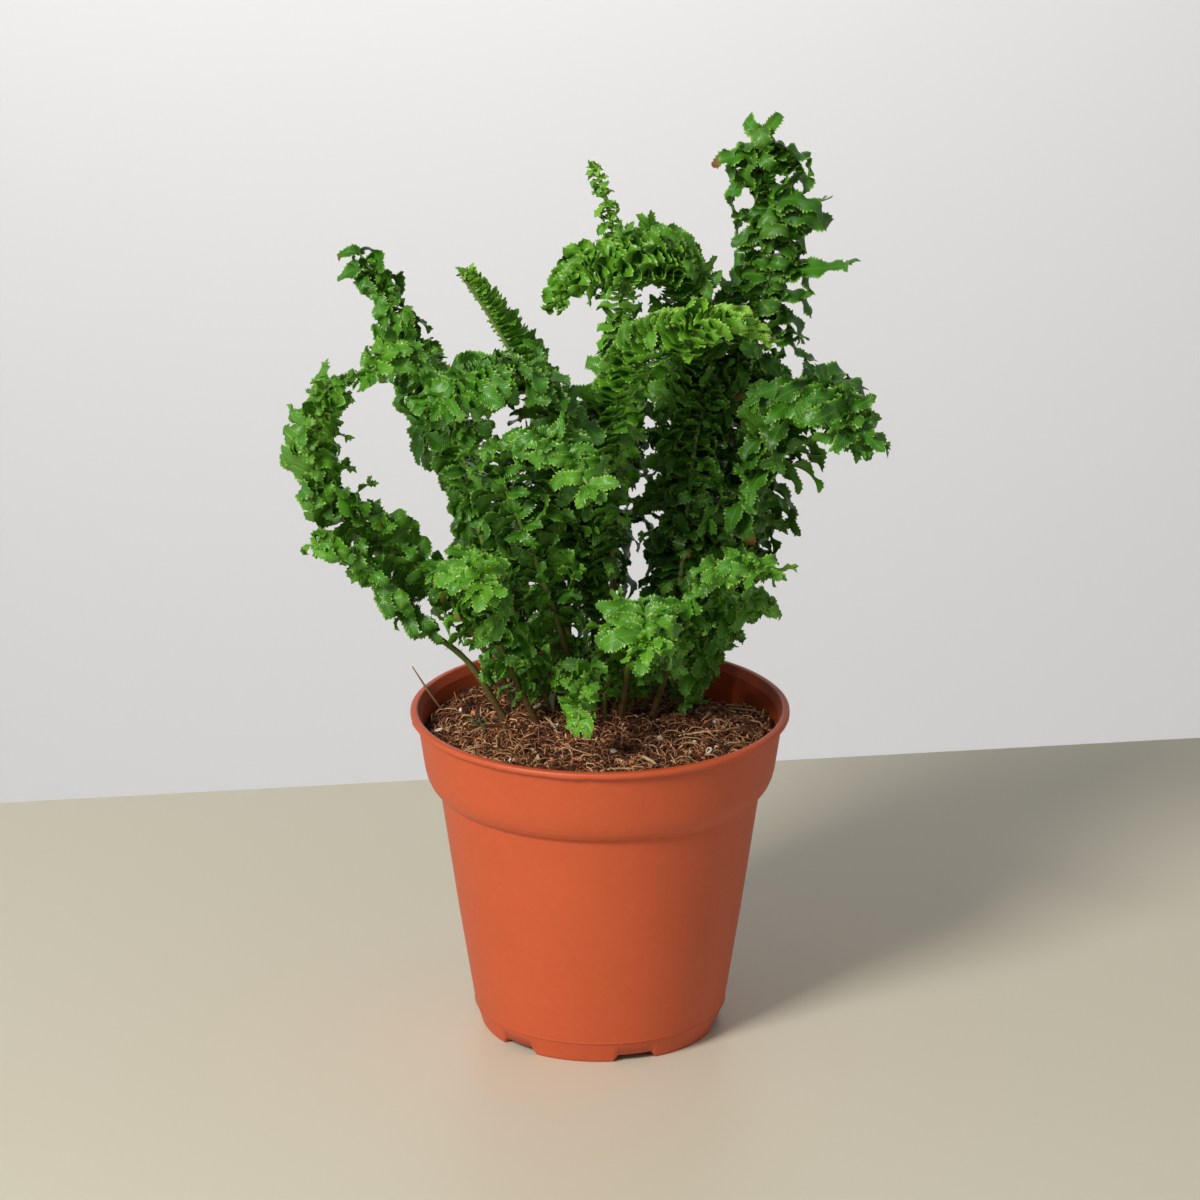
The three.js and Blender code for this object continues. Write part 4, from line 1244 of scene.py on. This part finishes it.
def build_fibres(name, seed, count, lengths, lift, curve, thick, material):
    random = np.random.default_rng(seed)
    lines = fibre_lines(random, count, lengths, lift, curve)
    radii = random.uniform(*thick, len(lines))[:, None] * np.array([0.5, 1, 1, 0.5])
    points, faces = tubes(lines, radii, 3)
    tone = np.zeros((len(points), 3))
    tone[:, 0] = np.repeat(random.uniform(0, 1, len(lines)), 12)
    build = Build("fibre_tone")
    build.add(points, faces, fibre_tone=tone)
    build.piece(name, material, "soil")


# What lies on the mix: points in mm, headings in degrees from +X, then lengths and thicknesses
STICKS = [
    (-18, -24, -74, 10, 0.5), (-14, -3, -69, 15, 0.35), (13.5, -29, -55, 8, 0.55), (30, -8, 20, 16, 0.3),
    (-36, -20, 35, 12, 0.3), (5, -36, 8, 13, 0.35), (38, 14, -12, 20, 0.25),
]
STICK_SHAPE = (0.6, 1, 0.9, 1, 0.5)
TWIG = [(-45, 11.5, 89.5), (-49.5, 14.5, 95), (-54, 17, 101.5)]  # leans over the lip
TWIG_RADII = (0.3, 0.36, 0.16)
ROOT_CURLS = [(-45, -7, 60, 7), (24, 12, 10, 8), (-17, 8, 80, 6), (31, -22, 150, 4)]
ROOT_STEPS = 14
ROOT_TURN = 200
ROOT_ARCH = 1.6
GRAINS = [(-12, -4), (-2.5, 4), (32, -21), (-25, -28), (17, -12), (-40, 12), (33, 2), (4, -22)]
GRAIN_RADII = (0.1, 0.6, 0.8, 0.75, 0.5, 0.1)
GRAIN_LENGTH = (1.2, 2.4)
GRAIN_ROUGH = 0.12
LIMP = {key: 0.0 for key in ANGLES} | {"curl": -0.5, "cup": -0.4, "ruffle": 0.7}
FALLEN = (-38, 3, -32, 17)
FALLEN_WIDTH = 6
CLOVER_AT = (29, 12)
CLOVER_TALL = 3.5
CLOVER_LEAFLET = 2.4
CROZIER_AT = (-14, 8)
CROZIER_ROWS = 40


def lying(x, y, heading, length, steps, turn=0.0, arch=0.0):
    """A line that lies on the mix, from its middle, turning by some degrees and arching up in mm."""
    angle = math.radians(heading)
    points = []
    for t in np.linspace(-0.5, 0.5, steps):
        bent = angle + math.radians(turn) * t
        at = (x + length * t * math.cos(bent), y + length * t * math.sin(bent))
        points.append(on_mix(*at, 0.8 + arch * (1 - 4 * t**2)))
    return np.array(points)


def add_tube(build, line, radii, sides, tone):
    """A round tube in one tone."""
    points, faces = tubes(np.array([line], float), np.array([radii]), sides)
    build.add(points, faces, fibre_tone=(tone, 0, 0))


def build_sticks(random):
    """Dry sticks, and a twig that leans over the lip."""
    sticks = Build("fibre_tone")
    for x, y, heading, length, thick in STICKS:
        line = lying(x, y, heading, length, len(STICK_SHAPE), random.uniform(-20, 20), 0.8)
        add_tube(sticks, line, np.array(STICK_SHAPE) * thick, 6, random.uniform(0.4, 1))
    add_tube(sticks, TWIG, TWIG_RADII, 6, 0)
    sticks.piece("dry_sticks", straw_fibre, "soil")


def build_roots(random):
    """Pale root ends that curl out of the mix."""
    roots = Build("fibre_tone")
    for x, y, heading, length in ROOT_CURLS:
        line = lying(x, y, heading, length, ROOT_STEPS, ROOT_TURN, ROOT_ARCH)
        add_tube(roots, line, np.linspace(0.42, 0.14, ROOT_STEPS), 6, random.uniform(0.4, 1))
    roots.piece("root_curls", pale_root, "soil")


def build_grains(random):
    """Lumpy grains of perlite."""
    grains = Build("fibre_tone")
    for x, y in GRAINS:
        line = lying(x, y, random.uniform(0, 180), random.uniform(*GRAIN_LENGTH), len(GRAIN_RADII))
        points, faces = tubes(line[None], np.array([GRAIN_RADII]), 7)
        points = points + random.uniform(-GRAIN_ROUGH, GRAIN_ROUGH, points.shape)
        grains.add(points, faces, fibre_tone=(random.uniform(0.5, 1), 0, 0))
    grains.piece("perlite", perlite, "soil")


def drop_leaflet(leaves, random):
    """A fallen leaflet on the mix."""
    x, y, heading, length = FALLEN
    angle = math.radians(heading)
    axis = np.array([math.cos(angle), math.sin(angle), 0])
    pose = (on_mix(x, y, 1.6), axis, Z.astype(float), 1)
    leaflet(leaves, random, LIMP, pose, length, FALLEN_WIDTH, 0.15)


def grow_clover(leaves, stems, random):
    """A seedling clover: a thin stalk and three round leaflets."""
    tip = on_mix(*CLOVER_AT, CLOVER_TALL)
    add_tube(stems, [on_mix(*CLOVER_AT), tip - Z * 1.5, tip], np.full(3, 0.16), 5, 0.3)
    for angle in np.radians([20, 140, 260]):
        axis = np.array([math.cos(angle), math.sin(angle), 0.1])
        pose = (tip, unit(axis), Z.astype(float), 1)
        leaflet(leaves, random, LIMP | {"curl": 0.0}, pose, CLOVER_LEAFLET, 2, 0.5)


def grow_crozier(stems):
    """A new frond, still rolled up."""
    root = on_mix(*CROZIER_AT)
    shoot = Rachis(180, [root, root + Z * 3, root + Z * 7 + np.array([1, 0, 0])], crozier=True, slim=1.1)
    line = [shoot.at(share)[0] for share in np.linspace(0.3, 1, CROZIER_ROWS)]
    add_tube(stems, line, np.linspace(1.2, 0.6, CROZIER_ROWS), 8, 0.8)


def build_litter():
    random = np.random.default_rng(331)
    build_sticks(random)
    build_roots(random)
    build_grains(random)
    leaves, stems = Build("leaf_place", "leaf_tone", "leaf_scorch"), Build("fibre_tone")
    drop_leaflet(leaves, random)
    grow_clover(leaves, stems, random)
    grow_crozier(stems)
    leaves.piece("fallen_leaflet", leaf_skin, "leaf")
    stems.piece("new_shoots", shoot_skin, "leaf_young")


# The stage
FLOOR_COLOUR = (0.635, 0.59, 0.45)
WALL_COLOUR = (0.76, 0.75, 0.74)
TABLE = [(-1.6, -2.2), (1.6, -2.2), (1.6, 0.23), (0.2, 0.23), (-0.2, 0.169), (-1.6, 0.169)]
ROOM_HALF = 3
ROOM_TOP = 2
ROOM_Z = -1.5
WALL_Y = 3.2
# name, place, what it faces, size in m, power in W, colour
LIGHTS = [
    ("key", (-0.95, -1.15, 1.15), (0, 0, 0.12), 0.5, 31, (1, 0.98, 0.95)),
    ("wall_light", (-0.35, 2.15, 0.92), (-0.1, WALL_Y, -0.6), 0.8, 33, (1, 1, 1)),
]
AIR_COLOUR = (0.97, 0.98, 1, 1)
AIR_STRENGTH = 0.33


def rectangle(left, right, low, high):
    return [(left, low), (right, low), (right, high), (left, high)]


def plane(name, corners, colour, roughness):
    mesh = bpy.data.meshes.new(name)
    mesh.from_pydata(corners, [], [tuple(range(len(corners)))])
    stage = bpy.data.objects.new(name, mesh)
    bpy.context.scene.collection.objects.link(stage)
    material, add = shader(name + "_paint")
    cloud = speckle(add, 3.0, 3)
    pale = blended(add, maths(add, "MULTIPLY", cloud, 0.06), (*colour, 1), (1, 1, 1, 1))
    paint = add("BsdfPrincipled", {"Base Color": pale, "Roughness": roughness})
    add("OutputMaterial", {"Surface": paint.outputs["BSDF"]})
    mesh.materials.append(material)


def area_light(name, place, target, size, power, colour):
    data = bpy.data.lights.new(name, "AREA")
    data.size = size
    data.energy = power
    data.color = colour
    light = bpy.data.objects.new(name, data)
    light.location = place
    light.rotation_euler = (Vector(target) - Vector(place)).to_track_quat("-Z", "Y").to_euler()
    bpy.context.scene.collection.objects.link(light)


def build_stage():
    wall = [(x, WALL_Y, z) for x, z in rectangle(-ROOM_HALF, ROOM_HALF, ROOM_Z, ROOM_TOP)]
    ground = [(x, y, ROOM_Z) for x, y in rectangle(-ROOM_HALF, ROOM_HALF, -ROOM_HALF, WALL_Y)]
    plane("table", [(x, y, 0) for x, y in TABLE], FLOOR_COLOUR, 0.5)
    plane("wall", wall, WALL_COLOUR, 0.9)
    plane("room", ground, WALL_COLOUR, 0.9)
    for light in LIGHTS:
        area_light(*light)
    world = bpy.data.worlds.new("room")
    bpy.context.scene.world = world
    world.use_nodes = True
    background = world.node_tree.nodes["Background"]
    background.inputs["Color"].default_value = AIR_COLOUR
    background.inputs["Strength"].default_value = AIR_STRENGTH


CAMERA_AT = (0, -1.470, 0.636)
CAMERA_TILT = 0.333
LENS = 164.85


def build_camera():
    data = bpy.data.cameras.new("camera")
    data.sensor_width = 36
    data.lens = LENS
    data.clip_end = 20
    camera = bpy.data.objects.new("camera", data)
    camera.location = CAMERA_AT
    camera.rotation_euler = (math.pi / 2 - CAMERA_TILT, 0, 0)
    bpy.context.scene.collection.objects.link(camera)
    bpy.context.scene.camera = camera


build_camera()
build_stage()
leaf_skin = leaf_material()
stem_skin = stem_material()
pot_skin = pot_material()
soil_skin = soil_material()
red_fibre = fibre_material("coir_fibre", COIR)
straw_fibre = fibre_material("straw", STRAW)
pale_root = fibre_material("pale_root", PALE_ROOT)
perlite = fibre_material("perlite", PERLITE)
shoot_skin = fibre_material("shoot_skin", SHOOT)
build_pot()
build_soil()
build_fibres("coir_fibres", 301, 3600, (1.5, 9), (0.2, 2.8), 0.7, (0.08, 0.26), red_fibre)
build_fibres("coir_flakes", 303, 1300, (0.8, 3), (0.1, 1.8), 0.2, (0.25, 0.75), red_fibre)
build_fibres("coir_hairs", 304, 420, (8, 24), (1, 3.2), 1.4, (0.06, 0.12), red_fibre)
build_fibres("straw_bits", 302, 130, (4, 13), (0.8, 2.6), 0.5, (0.1, 0.26), straw_fibre)
build_litter()
build_sprigs()
for frond in FRONDS:
    grow_frond(frond)
bpy.context.scene.view_settings.view_transform = "Standard"
